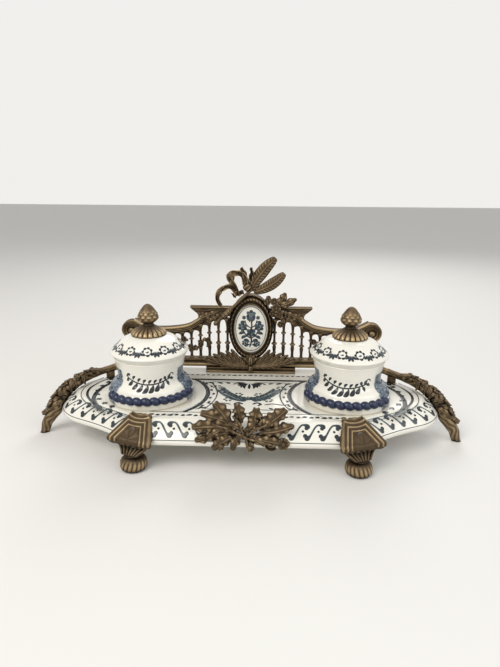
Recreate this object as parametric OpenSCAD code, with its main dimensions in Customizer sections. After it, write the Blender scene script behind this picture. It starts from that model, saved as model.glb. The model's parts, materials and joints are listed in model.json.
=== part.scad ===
// Desk inkstand: a glazed earthenware tray with two lidded ink pots, dressed with cast
// bronze: a pierced gallery with an oval plaque, two branch arms, four bracket feet and
// a leafy spray on the front edge.
// Millimetres, +Z up. The origin is on the table under the middle of the tray, and the
// front of the inkstand faces -Y.

/* [Tray] */
// Length of the flat top between its rounded ends
top_len = 292; // [276:1:320]
// Depth of the flat top, front to back
top_depth = 112; // [108:1:120]
// Height of the flat top above the table
top_z = 36.5; // [35:0.5:42]
// Thickness of the flat plate
plate_t = 6; // [5:0.5:8]
// How far the sloped painted band spreads outwards
band_out = 14; // [12:0.5:16]
// How far the sloped band falls
band_drop = 11; // [9:0.5:12.5]
// Height of the plain rounded lip under the band
lip_h = 5.5; // [4.5:0.5:6.5]
// Wall of the band and the lip
tray_wall = 5; // [4:0.5:6]
// Radius of the four rounded corners
corner_r = 12; // [9:1:16]
// Radius of the hollow flanks beside the ends
flank_r = 182; // [160:1:195]
// Radius of the rounded ends
end_r = 26.9; // [23:0.1:29]

/* [Ink pots] */
// Distance between the centres of the two pots
pot_gap = 163; // [156:1:172]
// How far the pots stand in front of the tray's middle
pot_ahead = 10; // [6:1:14]
// Height of a pot from the tray to its mouth
pot_h = 35.5; // [33:0.5:40]
// Radius of the foot
foot_r = 35; // [33:0.5:38]
// Radius of the bead of rope round the foot
rope_r = 2.9; // [2.2:0.1:3.4]
// Radius of the waist
waist_r = 26.6; // [26:0.1:28.5]
// Radius of the mouth, outside
mouth_r = 29.2; // [28.8:0.1:31]
// Thickness of the pot's floor
pot_floor = 5; // [4:0.5:7]
// Radius of the well that holds the liner
well_r = 21.5; // [19:0.1:22]
// Radius of the recess at the mouth
recess_r = 25.6; // [25:0.1:26.2]
// Depth of the recess at the mouth
recess_h = 5; // [4:0.5:7]

/* [Liners and lids] */
// Wall of the removable liner
liner_wall = 2.2; // [1.5:0.1:3]
// Thickness of the liner's flange
flange_t = 2; // [1.5:0.1:2.5]
// Gap between a liner or a lid and the pot round it
slip = 0.35; // [0.3:0.05:0.6]
// Radius of the lid at its widest
lid_r = 31.6; // [30.8:0.1:34]
// Height of the lid's edge above the mouth
lid_edge = 4; // [3:0.1:5]
// Rise of the dome above the lid's edge
dome_h = 15.5; // [12:0.5:19]
// Wall of the lid
lid_wall = 4; // [3:0.5:5]
// Radius of the ribbed cap on the dome
cap_r = 13.5; // [12:0.5:17]
// Height of the ribbed cap
cap_h = 7; // [6.5:0.5:10]
// Radius of the acorn knob
knob_r = 8; // [7:0.1:10]
// Height of the acorn knob
knob_h = 17.5; // [14:0.5:20]
// Radius of the stud through the lid
stud_r = 2; // [1.5:0.1:2.4]
// Gap round every stud and screw
hole_gap = 0.15; // [0.1:0.05:0.3]

/* [Gallery] */
// Distance from the back edge of the flat top to the gallery's middle plane
gallery_inset = 6; // [5:0.5:10]
// Half length of the plinth
plinth_x = 42; // [36:1:48]
// Depth of the plinth
plinth_d = 13; // [12:0.5:13]
// Height of the plinth
plinth_h = 5; // [4:0.5:7]
// Half length of the base rail
rail_x = 106; // [102:1:110]
// Height of the base rail
rail_h = 8; // [6.5:0.5:10]
// Depth of the base rail
rail_d = 9; // [8.5:0.5:10]
// Thickness of the pierced side panels
panel_t = 4; // [3:0.5:5]
// Distance from one slot of the arcade to the next
slot_pitch = 8.5; // [7.5:0.1:10]
// Width of a slot
slot_w = 4.8; // [3.5:0.1:5.5]
// Height of the horns' top above the base rail
horn_h = 50; // [46:0.5:56]
// Half width of the oval plaque
plaque_w = 16; // [13:0.5:17]
// Half height of the oval plaque
plaque_h = 23.3; // [21:0.1:25]
// Thickness of the plaque at its edge
plaque_t = 3; // [2:0.5:4]
// Half width of the plaque's frame
frame_w = 20.5; // [20:0.5:23]
// Half height of the plaque's frame
frame_h = 31; // [28:0.5:34]
// Reach of the arrow's feathers above the top of the frame
feather_rise = 35; // [26:1:40]

/* [Arms and feet] */
// Distance that the arms' tips reach past the tray's lip
arm_reach = 20; // [14:1:28]
// Radius of the arm beside the gallery
arm_r = 4; // [3.5:0.1:4.4]
// Radius of the arm where it turns down
arm_bend_r = 7.2; // [6:0.1:8]
// Height of a bun foot
bun_h = 13.5; // [12:0.5:14]
// Radius of a bun foot
bun_r = 10.3; // [9:0.1:12]
// Half width of a foot bracket at its top
bracket_top = 9; // [8:0.5:11]
// Half width of a foot bracket where it is widest
bracket_wide = 18; // [15:0.5:20]
// How far a foot bracket stands out from the band
bracket_out = 5.5; // [4:0.5:7]
// Half width of the front spray
spray_x = 38; // [32:1:44]
// Height of the front spray
spray_h = 31; // [27:1:36]

/* [Hidden] */
$fn = 64;

glaze = [0.93, 0.92, 0.88];
bronze = [0.36, 0.27, 0.15];
iron = [0.25, 0.23, 0.21];

// Turns of the tray's outline, in degrees from the front edge
corner_turn = 40;
flank_turn = 26;
half_len = top_len / 2;
half_depth = top_depth / 2;
gallery_y = half_depth - gallery_inset;
band_z = top_z - band_drop;
low_z = band_z - lip_h;
flat_run = (half_depth - corner_r + (corner_r + flank_r) * cos(corner_turn)
  - (flank_r + end_r) * cos(flank_turn)) / sin(flank_turn);
corner_x = half_len - end_r - (corner_r + flank_r) * sin(corner_turn)
  + (flank_r + end_r) * sin(flank_turn) - flat_run * cos(flank_turn);
corner_y = half_depth - corner_r;
lip_x = half_len + band_out;

// Pots, liners and lids, with heights above the table
pot_x = pot_gap / 2;
mouth_z = top_z + pot_h;
rope_z = 6.4;
ledge_z = mouth_z - recess_h;
bolt_r = 2.5;
bolt_head_r = 5;
bolt_head_h = 3;
liner_r = well_r - slip;
liner_low = top_z + pot_floor + bolt_head_h + 1;
dome_z = mouth_z + lid_edge + dome_h;
cap_z = dome_z - 1.8;
neck_z = cap_z + cap_h;
nut_h = 3;
nut_r = 4.2;
nut_z = dome_z - lid_wall - nut_h;
hole_r = stud_r + hole_gap;

// Gallery
rail_z = top_z + plinth_h;
sill_z = rail_z + rail_h;
frame_z = sill_z + frame_h;
frame_front = gallery_y - rail_d / 2;
frame_back = gallery_y + 1;
plaque_gap = 0.25;
screw_r = 2;

// Feet: the brackets stand on the rounded corners, facing half way round the turn
bracket_turn = corner_turn / 2;
bracket_u = corner_r + band_out + bracket_out;
bun_u = corner_r + band_out - 2;
stud_low = 4;
stud_high = low_z - 1.5;

// A point between four others on a smooth curve
function smooth(p0, p1, p2, p3, t) = 0.5 * (2 * p1 + (p2 - p0) * t
  + (2 * p0 - 5 * p1 + 4 * p2 - p3) * t * t + (3 * p1 - p0 - 3 * p2 + p3) * t * t * t);
// The smooth curve through a list of points, with n steps between neighbours
function spline(p, n) = let (m = len(p) - 1) concat([for (i = [0 : m - 1], k = [0 : n - 1])
  smooth(p[max(i - 1, 0)], p[i], p[i + 1], p[min(i + 2, m)], k / n)], [p[m]]);
function unit(v) = v / norm(v);
// Direction of a path at its point i
function heading(p, i) = unit(p[min(i + 1, len(p) - 1)] - p[max(i - 1, 0)]);
function left_of(v) = [-v[1], v[0]];
// Outline of a flat strip along a path, where w gives its half width at each point
function strip(p, w) = concat([for (i = [0 : len(p) - 1]) p[i] + left_of(heading(p, i)) * w[i]],
  [for (i = [len(p) - 1 : -1 : 0]) p[i] - left_of(heading(p, i)) * w[i]]);
function even_strip(p, w) = strip(p, [for (i = p) w]);
// Outline of a leaf along a path, with its edge cut into lobes
function leaf(p, w, lobes, cut) = let (n = len(p) - 1) strip(p, [for (i = [0 : n])
  max(0.25, w * pow(sin(180 * i / n), 0.7) * (1 - cut * pow(sin(180 * lobes * i / n), 2)))]);
function oval(a, b, n = 72) = [for (i = [0 : n - 1]) [a * cos(360 * i / n), b * sin(360 * i / n)]];
// Points of a round arc
function arc(c, r, a0, a1, n) = [for (i = [0 : n]) c + r * [cos(a0 + (a1 - a0) * i / n),
  sin(a0 + (a1 - a0) * i / n)]];

// A closed skin over a list of rings that all have the same number of points
module skin(rings) {
  n = len(rings[0]);
  m = len(rings);
  sides = [for (i = [0 : m - 2], j = [0 : n - 1], h = [0, 1])
    let (k = (j + 1) % n) h == 0 ? [i * n + j, (i + 1) * n + k, i * n + k]
      : [i * n + j, (i + 1) * n + j, (i + 1) * n + k]];
  ends = [[for (j = [0 : n - 1]) j], [for (j = [n - 1 : -1 : 0]) (m - 1) * n + j]];
  polyhedron(points = [for (r = rings) each r], faces = concat(sides, ends), convexity = 6);
}

// A round tube along a path, with a radius for each point
module tube(p, r, sides = 10) {
  skin([for (i = [0 : len(p) - 1])
    let (t = heading(p, i), s = unit(cross(t, [0, 0, 1])), u = cross(t, s))
      [for (k = [0 : sides - 1]) p[i] + r[i] * (s * cos(360 * k / sides) + u * sin(360 * k / sides))]]);
}

// A drawing in X and Z made solid from y0 back to y1
module upright(y0, y1) {
  translate([0, y1, 0]) rotate([90, 0, 0]) linear_extrude(y1 - y0) children();
}

module both_pots() {
  for (s = [-1, 1]) translate([s * pot_x, -pot_ahead, 0]) children();
}
module at_pot(s) {
  translate([s * pot_x, -pot_ahead, 0]) children();
}

// Tray: one quarter of its outline, grown outwards by d
function quarter(d) =
  let (c1 = [corner_x, -corner_y],
       c2 = c1 + (corner_r + flank_r) * [sin(corner_turn), -cos(corner_turn)],
       p2 = c2 - flank_r * [sin(flank_turn), -cos(flank_turn)],
       p3 = p2 + flat_run * [cos(flank_turn), sin(flank_turn)],
       c3 = p3 + end_r * [-sin(flank_turn), cos(flank_turn)])
  concat(arc(c1, corner_r + d, -90, corner_turn - 90, 5),
    [for (i = [1 : 6]) arc(c2, -(flank_r - d), corner_turn - 90, flank_turn - 90, 6)[i]],
    arc(c3, end_r + d, flank_turn - 90, 0, 8));
function outline(d) = let (q = quarter(d), n = len(q) - 1) concat(q,
  [for (i = [n - 1 : -1 : 0]) [q[i][0], -q[i][1]]], [for (i = [0 : n]) [-q[i][0], -q[i][1]]],
  [for (i = [n - 1 : -1 : 0]) [-q[i][0], q[i][1]]]);
function ring_at(d, z) = [for (p = outline(d)) [p[0], p[1], z]];
outer_form = [[band_out - 2.4, low_z], [band_out - 0.3, low_z + 1.6], [band_out, band_z - 1.2],
  [band_out - 1.2, band_z + 0.8], [1.2, top_z - 0.6], [0, top_z]];
inner_form = [[-2, top_z - plate_t], [band_out - tray_wall - 1, band_z - 2],
  [band_out - tray_wall - 1, low_z]];

// The tray as if it were solid all through, for cutting what is seated on it
module tray_form() {
  skin([for (f = outer_form) ring_at(f[0], f[1])]);
}
module tray() {
  color(glaze) difference() {
    skin([for (f = concat(inner_form, outer_form)) ring_at(f[0], f[1])]);
    both_pots() translate([0, 0, top_z - plate_t - 1]) cylinder(r = bolt_r + hole_gap, h = plate_t + 2);
    for (s = [-1, 1]) {
      translate([s * plinth_x / 2, gallery_y, top_z - plate_t - 1])
        cylinder(r = screw_r + hole_gap, h = plate_t + 2);
      arm_screw_place(s) translate([0, 0, -plate_t - 1]) cylinder(r = screw_r + hole_gap, h = plate_t + 2);
      arm_screw_place(s) translate([0, 0, -plate_t - 6]) cylinder(r = 4.5, h = 6);
      spray_screw_place(s) translate([0, 0, -20]) cylinder(r = screw_r + hole_gap, h = 40);
      spray_screw_place(s) translate([0, 0, -14]) cylinder(r = 3.9, h = 14 - spray_seat);
      for (f = [-1, 1]) {
        bracket_screw_place(s, f) translate([0, 0, -20]) cylinder(r = screw_r + hole_gap, h = 30);
        bracket_screw_place(s, f) translate([0, 0, -14]) cylinder(r = 3.9, h = 14 - bracket_seat);
      }
    }
  }
}

// Ink pots
function pot_outside() = concat([[foot_r - 0.4, 0], [foot_r + 0.4, 1], [foot_r + 0.5, rope_z - rope_r]],
  arc([foot_r - 1.4, rope_z], rope_r, -52, 66, 6),
  spline([[foot_r - 0.6, rope_z + rope_r - 0.1], [foot_r - 3.4, rope_z + 6.2],
    [waist_r + 1, pot_h * 0.47], [waist_r, pot_h * 0.6], [waist_r + 0.8, pot_h * 0.76],
    [mouth_r - 0.5, pot_h * 0.93], [mouth_r, pot_h]], 4));
module pot() {
  color(glaze) rotate_extrude($fn = 96) polygon(concat([[bolt_r + hole_gap, 0]], pot_outside(),
    [[recess_r, pot_h], [recess_r, pot_h - recess_h], [well_r, pot_h - recess_h],
     [well_r, pot_floor + 3], [well_r - 3, pot_floor], [bolt_r + hole_gap, pot_floor]]));
}
module pot_bolts() {
  low = top_z - plate_t - 5;
  color(iron) both_pots() {
    translate([0, 0, low]) cylinder(r = bolt_r, h = top_z + pot_floor - low);
    translate([0, 0, top_z + pot_floor]) cylinder(r = bolt_head_r, h = bolt_head_h);
    translate([0, 0, top_z - plate_t - 3.2]) cylinder(r = bolt_head_r, h = 3.2, $fn = 6);
  }
}

// Liners that hold the ink, hung in the wells by their flanges
module liner() {
  low = liner_low;
  color([0.85, 0.9, 0.88]) rotate_extrude($fn = 72) polygon([[0, low], [liner_r - 2.5, low],
    [liner_r, low + 2.5], [liner_r, ledge_z], [recess_r - slip, ledge_z],
    [recess_r - slip, ledge_z + flange_t], [liner_r - liner_wall, ledge_z + flange_t],
    [liner_r - liner_wall, low + 4], [liner_r - liner_wall - 2.5, low + liner_wall],
    [0, low + liner_wall]]);
}

// Lids
lid_outside = spline([[0, dome_z], [cap_r * 0.6, dome_z - 0.7], [cap_r, dome_z - 2.4],
  [lid_r * 0.66, dome_z - 5.2], [lid_r * 0.85, mouth_z + lid_edge + 4.9],
  [lid_r - 0.5, mouth_z + lid_edge + 1.4]], 4);
nut_flange_r = nut_r + 1.6;
lid_inside = concat([[hole_r, dome_z - lid_wall]], spline([[nut_flange_r + 0.6, dome_z - lid_wall],
  [cap_r * 0.8, dome_z - lid_wall - 1.5], [lid_r * 0.62, dome_z - lid_wall - 5.4],
  [recess_r - slip - 3, mouth_z + 1]], 4));
// Points of the dome under the ribbed cap, from its hem inwards
cap_seat = [for (i = [8 : -1 : 0]) if (lid_outside[i][0] > hole_r + 0.1) lid_outside[i]];
module lid() {
  spigot = recess_r - slip;
  color(glaze) rotate_extrude($fn = 96) polygon(concat([[hole_r, dome_z]],
    [for (p = lid_outside) if (p[0] > hole_r + 0.1) p],
    [[lid_r, mouth_z + lid_edge], [lid_r - 0.3, mouth_z + lid_edge - 1.4],
     [mouth_r + 0.2, mouth_z + 0.4], [mouth_r, mouth_z], [spigot, mouth_z],
     [spigot, mouth_z - recess_h + flange_t + 0.8], [spigot - 3, mouth_z - recess_h + flange_t + 0.8]],
    [for (i = [len(lid_inside) - 1 : -1 : 0]) lid_inside[i]]));
}
module calyx() {
  rib_slope = atan2(cap_h - 2.2, cap_r - 5);
  color(bronze) difference() {
    rotate_extrude($fn = 72) polygon(concat([[hole_r, neck_z], [4.6, neck_z], [5.4, neck_z - 0.8]],
      spline([[6, neck_z - 1], [cap_r * 0.74, neck_z - 2.6], [cap_r * 0.95, neck_z - 4.8],
        [cap_r + 0.4, cap_z + 0.6]], 3), cap_seat, [[hole_r, dome_z]]));
    for (k = [0 : 19]) rotate(k * 18 + 9) translate([cap_r + 1.6, 0, cap_z + 0.4])
      rotate([0, rib_slope - 90, 0]) translate([0, 0, -2]) cylinder(r = 1.1, h = cap_r, $fn = 24);
  }
}
module finial() {
  k = neck_z;
  color(bronze) rotate_extrude($fn = 72) polygon(concat([[0, nut_z - 1.5], [stud_r, nut_z - 1.5],
    [stud_r, k], [4.4, k], [4.5, k + 1]],
    spline([[4, k + 1.4], [knob_r * 0.72, k + knob_h * 0.14], [knob_r * 0.98, k + knob_h * 0.32],
      [knob_r, k + knob_h * 0.42], [knob_r * 0.86, k + knob_h * 0.6], [knob_r * 0.55, k + knob_h * 0.84],
      [knob_r * 0.28, k + knob_h * 0.96], [0, k + knob_h]], 3)));
}
module lid_nut() {
  color(iron) difference() {
    union() {
      translate([0, 0, nut_z]) cylinder(r = nut_r, h = nut_h - 1, $fn = 6);
      translate([0, 0, nut_z + nut_h - 1]) cylinder(r = nut_flange_r, h = 1);
    }
    translate([0, 0, nut_z - 1]) cylinder(r = stud_r + 0.05, h = nut_h + 2);
  }
}

// Gallery
plinth_form = let (d = plinth_d / 2, h = plinth_h) [[-d, 0], [d, 0], [d, h * 0.35], [d - 1.6, h * 0.45],
  [d - 1.6, h * 0.75], [d - 0.8, h], [-d + 0.8, h], [-d + 1.6, h * 0.75], [-d + 1.6, h * 0.45],
  [-d, h * 0.35]];
rail_form = let (d = rail_d / 2, h = rail_h) [[-d + 1.5, 0], [d - 1.5, 0], [d, h * 0.2], [d, h * 0.38],
  [d - 1.4, h * 0.46], [d - 1.4, h * 0.72], [d - 0.4, h * 0.8], [d - 0.4, h], [-d + 0.4, h],
  [-d + 0.4, h * 0.8], [-d + 1.4, h * 0.72], [-d + 1.4, h * 0.46], [-d, h * 0.38], [-d, h * 0.2]];
// A moulding with its section in Y and Z, running along X
module moulding(section, half) {
  translate([-half, gallery_y, 0]) rotate([90, 0, 90]) linear_extrude(half * 2) polygon(section);
}
module gallery_screw_holes(r, z0, z1) {
  for (s = [-1, 1]) translate([s * plinth_x / 2, gallery_y, z0]) cylinder(r = r, h = z1 - z0);
}
module gallery_plinth() {
  color(bronze) difference() {
    translate([0, 0, top_z]) moulding(plinth_form, plinth_x);
    gallery_screw_holes(screw_r + hole_gap, top_z - 1, rail_z + 1);
  }
}
module gallery_base_rail() {
  color(bronze) difference() {
    translate([0, 0, rail_z]) moulding(rail_form, rail_x);
    gallery_screw_holes(screw_r + hole_gap, rail_z - 1, rail_z + 5.2);
  }
}
module gallery_screws() {
  low = top_z - plate_t - 2.6;
  color(iron) {
    gallery_screw_holes(screw_r, low, rail_z + 5);
    gallery_screw_holes(4.2, low, top_z - plate_t);
  }
}

volute_r = 10.4;
volute_x = rail_x + 5.5;
volute_z = sill_z + 26;
// Centre line of the top rail, from the horn out to the volute
rail_path = spline([[45, sill_z + 37.6], [50, sill_z + 33.8], [57, sill_z + 30], [66, sill_z + 27.9],
  [80, sill_z + 26.6], [rail_x - 12, sill_z + 27], [rail_x - 4, sill_z + 30.5],
  [volute_x - 2, volute_z + volute_r - 1.9]], 5);
spiral = [for (i = [0 : 22]) let (a = 100 - i * 22, r = volute_r - 1.6 - i * 0.25)
  [volute_x + r * cos(a), volute_z + r * sin(a)]];
horn_top = sill_z + horn_h;
horn_shape = concat([[frame_w - 3, horn_top], [56, horn_top], [55.6, horn_top - 1.8],
  [52.4, horn_top - 4.2], [50.4, horn_top - 6], [48.6, horn_top - 7.4], [49, horn_top - 10.4],
  [51.5, horn_top - 14]], [for (i = [5 : -1 : 0]) rail_path[i]], [[42, sill_z + 37.5],
  [34, sill_z + 40.5], [frame_w - 3, sill_z + 43]]);
panel_low = sill_z;
// The pierced side panel, drawn in X and Z for the right side
module arcade() {
  top = concat([[frame_w - 3, sill_z + 42]], [[34, sill_z + 41], [42, sill_z + 38]],
    [for (p = rail_path) if (p[0] > 43 && p[0] < rail_x - 1) p]);
  difference() {
    polygon(concat([[rail_x - 1, panel_low], [frame_w - 3, panel_low]], top,
      [[rail_x - 1, sill_z + 27]]));
    for (x = [frame_w + slot_pitch * 0.55 : slot_pitch : rail_x - slot_pitch * 0.8])
      translate([x, sill_z + 3.5]) {
        rise = lookup(x, [[frame_w, 30], [34, 27], [44, 22.5], [54, 17.5], [66, 15.5], [rail_x, 15]]);
        translate([-slot_w / 2, 0]) square([slot_w, rise]);
        translate([0, rise]) circle(d = slot_w, $fn = 24);
      }
  }
}
module gallery_side(s) {
  t = panel_t / 2;
  mirror([s < 0 ? 1 : 0, 0, 0]) difference() {
    union() {
      upright(gallery_y - t, gallery_y + t) arcade();
      upright(gallery_y - t - 1.2, gallery_y + t) polygon(horn_shape);
      upright(gallery_y - t - 2, gallery_y + t + 0.4) polygon(even_strip(rail_path, 3.3));
      upright(gallery_y - t - 2.8, gallery_y + t + 1) polygon(even_strip([for (p = rail_path)
        p + [0, 1.9]], 1.2));
      upright(gallery_y - t - 2.6, gallery_y + t + 1) polygon([[frame_w - 3, horn_top - 3],
        [53.5, horn_top - 3], [56, horn_top], [frame_w - 3, horn_top]]);
      upright(gallery_y - t - 2, gallery_y + t + 0.4) polygon(even_strip(spiral, 1.9));
      upright(gallery_y - t - 0.6, gallery_y + t) translate([volute_x, volute_z]) circle(r = volute_r - 3);
      upright(gallery_y - t - 2.6, gallery_y + t + 0.6) translate([volute_x, volute_z]) circle(r = 3.2);
      upright(gallery_y - t - 0.8, gallery_y + t + 0.4) polygon([[rail_x - 6, panel_low],
        [rail_x, panel_low], [rail_x, volute_z - volute_r + 2], [rail_x - 6, volute_z - 4]]);
      upright(gallery_y - t - 1, gallery_y + t) translate([frame_w - 3, panel_low])
        square([rail_x - frame_w + 3, 2]);
    }
    upright(gallery_y - 10, gallery_y + 10) translate([0, frame_z]) polygon(oval(frame_w, frame_h));
  }
}

// Plaque and its frame
module plaque_frame() {
  y = frame_front;
  module oval_ring(a, b, c, d) {
    translate([0, frame_z]) difference() {
      polygon(oval(a, b));
      translate([0, plaque_drop]) polygon(oval(c, d));
    }
  }
  color(bronze) {
    difference() {
      union() {
        upright(y, frame_back + 1.5) oval_ring(frame_w, frame_h, plaque_w - 1, plaque_h - 1);
        upright(y - 1.6, y) oval_ring(frame_w - 1.2, frame_h - 1.4, plaque_w + 0.8, plaque_h + 0.8);
        upright(y - 2.6, y - 1.6) oval_ring(frame_w - 2.2, frame_h - 4, plaque_w + 1.6, plaque_h + 1.8);
      }
      upright(y + 1.2, frame_back + 3) translate([0, frame_z + plaque_drop])
        polygon(oval(plaque_w + plaque_gap, plaque_h + plaque_gap));
      upright(y + 1.2 + plaque_t, frame_back + 3) translate([0, frame_z + plaque_drop])
        polygon(oval(back_w, back_h));
      plaque_screw_place() cylinder(r = 0.9, h = 3, $fn = 20);
    }
  }
}
plaque_drop = -1.6;
back_w = plaque_w + 2.6;
back_h = plaque_h + 4;
back_y = frame_front + 1.2 + plaque_t;
module plaque() {
  rise = 1.1;
  y0 = frame_front + 1.2;
  color(glaze) union() {
    upright(y0, y0 + plaque_t) translate([0, frame_z + plaque_drop]) polygon(oval(plaque_w, plaque_h));
    skin([for (k = [0 : 4]) let (f = [1, 0.82, 0.6, 0.36, 0.12][k])
      [for (p = oval(plaque_w - 1.6, plaque_h - 1.6, 48))
        [p[0] * f, y0 - rise * (1 - f * f), frame_z + plaque_drop + p[1] * f]]]);
  }
}
module plaque_screw_place() {
  for (s = [-1, 1]) translate([0, back_y, frame_z + plaque_drop + s * (plaque_h + 2)])
    rotate([90, 0, 0]) children();
}
module plaque_back() {
  color(bronze) difference() {
    upright(back_y, back_y + 1.2) translate([0, frame_z + plaque_drop])
      polygon(oval(back_w - 0.3, back_h - 0.3));
    plaque_screw_place() translate([0, 0, -3]) cylinder(r = 0.95, h = 6, $fn = 20);
  }
}
module plaque_screws() {
  color(iron) plaque_screw_place() {
    translate([0, 0, -1.2]) cylinder(r = 0.8, h = 3.4, $fn = 20);
    translate([0, 0, -2.2]) cylinder(r = 1.8, h = 1, $fn = 20);
  }
}

// Palm leaves that fan out from the foot of the plaque
leaf_front = frame_front - 2.6;
module gallery_leaves() {
  root = [0, rail_z + 2];
  color(bronze) {
    for (s = [-1, 1]) mirror([s < 0 ? 1 : 0, 0, 0]) {
      for (k = [0 : 5]) let (reach = [46, 41, 35, 29, 23, 18][k], rise = [8, 10, 12.5, 14.5, 16, 17.5][k])
        upright(leaf_front - 2.2 + k * 0.3, leaf_front)
          polygon(leaf(spline([root + [1 + k * 0.6, k * 0.6], root + [reach * 0.45, rise * 0.22],
            root + [reach * 0.8, rise * 0.62], root + [reach, rise]], 4), 2.5, 1, 0));
    }
    upright(leaf_front - 3, leaf_front) translate(root + [0, 8]) circle(r = 4.4, $fn = 32);
    upright(leaf_front - 2.4, leaf_front) translate(root) circle(r = 4, $fn = 32);
    upright(leaf_front - 2.4, leaf_front) polygon([for (p = oval(2.3, 4)) root + [0, -1] + p]);
  }
}

// Arrow that lies across the top of the frame
arrow_y = leaf_front - 1.6;
arrow_tail = [-33, frame_z + 3.5];
arrow_head = [1, frame_z + frame_h + 6];
feather_tips = [[22.5, frame_z + frame_h + feather_rise], [31, frame_z + frame_h + feather_rise * 0.6]];
module arrow_place() {
  lean = atan2(arrow_head[1] - arrow_tail[1], arrow_head[0] - arrow_tail[0]);
  translate([arrow_tail[0], arrow_y, arrow_tail[1]]) rotate([0, 90 - lean, 0]) children();
}
module feathers(y0, y1) {
  for (k = [0, 1]) let (root = arrow_head + [-1.5 + k * 3, -2 - k * 1.5], tip = feather_tips[k],
    bow = [-1.5 + 3 * k, 1 - 2.4 * k])
    upright(y0 + k * 0.5, y1) polygon(leaf(spline([root, (root * 2 + tip) / 3 + bow,
      (root + tip * 2) / 3 + bow, tip], 4), 5.6 - k * 0.6, 1, 0));
}
module gallery_arrow() {
  run = norm(arrow_head - arrow_tail);
  color(bronze) {
    arrow_place() rotate_extrude($fn = 40) polygon([[0, -0.5], [1.1, 0], [1.6, 2], [1.6, 5], [1.5, 6],
      [1.5, 8], [1.6, 8.4], [1.6, 20], [1.4, 20.4], [1.4, run], [0, run]]);
    feathers(arrow_y - 1.5, leaf_front);
  }
}

// Ribbon bow beside the arrow, held behind by a stalk on top of the frame
module gallery_ribbon() {
  knot = arrow_head + [-4.5, 1.3];
  stalk_w = 2.6;
  loops = [
    [knot + [0, 2], knot + [-1, 8], knot + [-3, 13.5], knot + [-5.5, 17.5]],
    [knot + [2, 3], knot + [3.4, 9], knot + [4, 14], knot + [3.4, 17.8]],
    [knot + [-1, 3], knot + [-3.5, 9.5], knot + [-8, 12.8], knot + [-13, 12.6], knot + [-15, 8],
      knot + [-12, 1], knot + [-8.5, -6]],
    [knot + [-8.5, -5.5], knot + [-13, -1.2], knot + [-18, 0.4], knot + [-23, -2], knot + [-26, -7],
      knot + [-27, -12], knot + [-23.5, -17.5]],
    [knot + [-13, -8], knot + [-9, -6], knot + [-3, -4.5]]
  ];
  color(bronze) difference() {
    union() {
      for (k = [0 : 4]) upright(leaf_front - 4.4 + k * 0.3, leaf_front)
        polygon(even_strip(spline(loops[k], 5), 2.4 - k * 0.12));
      upright(leaf_front - 5, leaf_front) translate(knot) circle(r = 4.4, $fn = 32);
      upright(leaf_front - 0.5, frame_back)
        polygon(even_strip([knot, [knot[0] / 2, frame_z + frame_h - 4]], stalk_w));
    }
    plaque_frame_front();
    arrow_place() translate([0, 0, -2]) cylinder(r = 1.9, h = 80);
    feathers(arrow_y - 8, leaf_front + 1);
  }
}
// The space of the frame's raised front, for cutting what is laid on it
module plaque_frame_front() {
  upright(frame_front - 2.6, frame_back + 2) translate([0, frame_z]) polygon(oval(frame_w, frame_h));
}

// Flowers and leaves on the right shoulder of the frame
module gallery_flowers() {
  base = [21, frame_z + 21];
  color(bronze) difference() {
    union() {
      for (f = [[-6, 4, 3.4], [0, 4, 3.6], [2, -2, 4.2], [4.5, -7, 3.6], [-1, -7, 3.2], [6, -17, 3]])
        for (k = [0 : 5]) upright(leaf_front - 2.4, gallery_y - panel_t / 2)
          translate(base + [f[0], f[1]] + f[2] * 0.55 * [cos(60 * k), sin(60 * k)])
            circle(r = f[2] * 0.52, $fn = 20);
      for (q = [[[2, 0], [7, 6], [10, 12.5]], [[3, -1], [12, 2.5], [20, 7]], [[-5, 3], [-5.4, 6.5], [-4.5, 9.5]]])
        upright(leaf_front - 1.6, gallery_y - panel_t / 2) polygon(leaf(spline(
          [for (v = q) base + v], 5), 3.4, 1, 0));
    }
    gallery_side(1);
    plaque_frame_front();
    gallery_arrow();
  }
}

// Garlands hung over the arcades
garland_back = gallery_y - panel_t / 2;
module garland(points) {
  p = spline([for (v = points) [v[0], sill_z + v[1]]], 4);
  n = len(p) - 1;
  upright(garland_back - 2, garland_back) polygon(even_strip(p, 1.5));
  for (i = [1 : 3 : n - 1]) upright(garland_back - 3.4 + 0.6 * ((i - 1) / 3 % 2), garland_back)
    translate(p[i]) circle(r = 2.7 - 0.4 * ((i - 1) / 3 % 2), $fn = 24);
}

// Arms: branches that leave the gallery, follow the tray's back corners and reach the table
arm_path = spline([[rail_x, gallery_y, rail_z + 4.2], [rail_x + 3, gallery_y - 1, rail_z + 4.4],
  [half_len - 31, 42, top_z + 8.6], [half_len - 21, 31, top_z + 8.2], [half_len - 11, 20, top_z + 7.4],
  [half_len - 3, 11.5, top_z + 5.9], [half_len + 4, 4, top_z + 3.2], [half_len + 10, -2, top_z - 1],
  [lip_x, -6.5, top_z - 6.5], [lip_x + 5.4, -9.5, band_z - 5.5], [lip_x + arm_reach * 0.6, -11, 11],
  [lip_x + arm_reach - 3, -11.7, -3]], 3);
arm_n = len(arm_path) - 1;
arm_girth = [for (i = [0 : arm_n]) lookup(i / arm_n, [[0, arm_r], [0.3, arm_r], [0.45, arm_r + 0.8],
  [0.62, arm_bend_r - 1.2], [0.78, arm_bend_r], [0.9, arm_bend_r - 1], [1, arm_bend_r - 2.4]])];
module branch() {
  tube(arm_path, arm_girth, 12);
}
module above_table() {
  intersection() {
    children();
    translate([-300, -300, 0]) cube([600, 600, 300]);
  }
}
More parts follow.
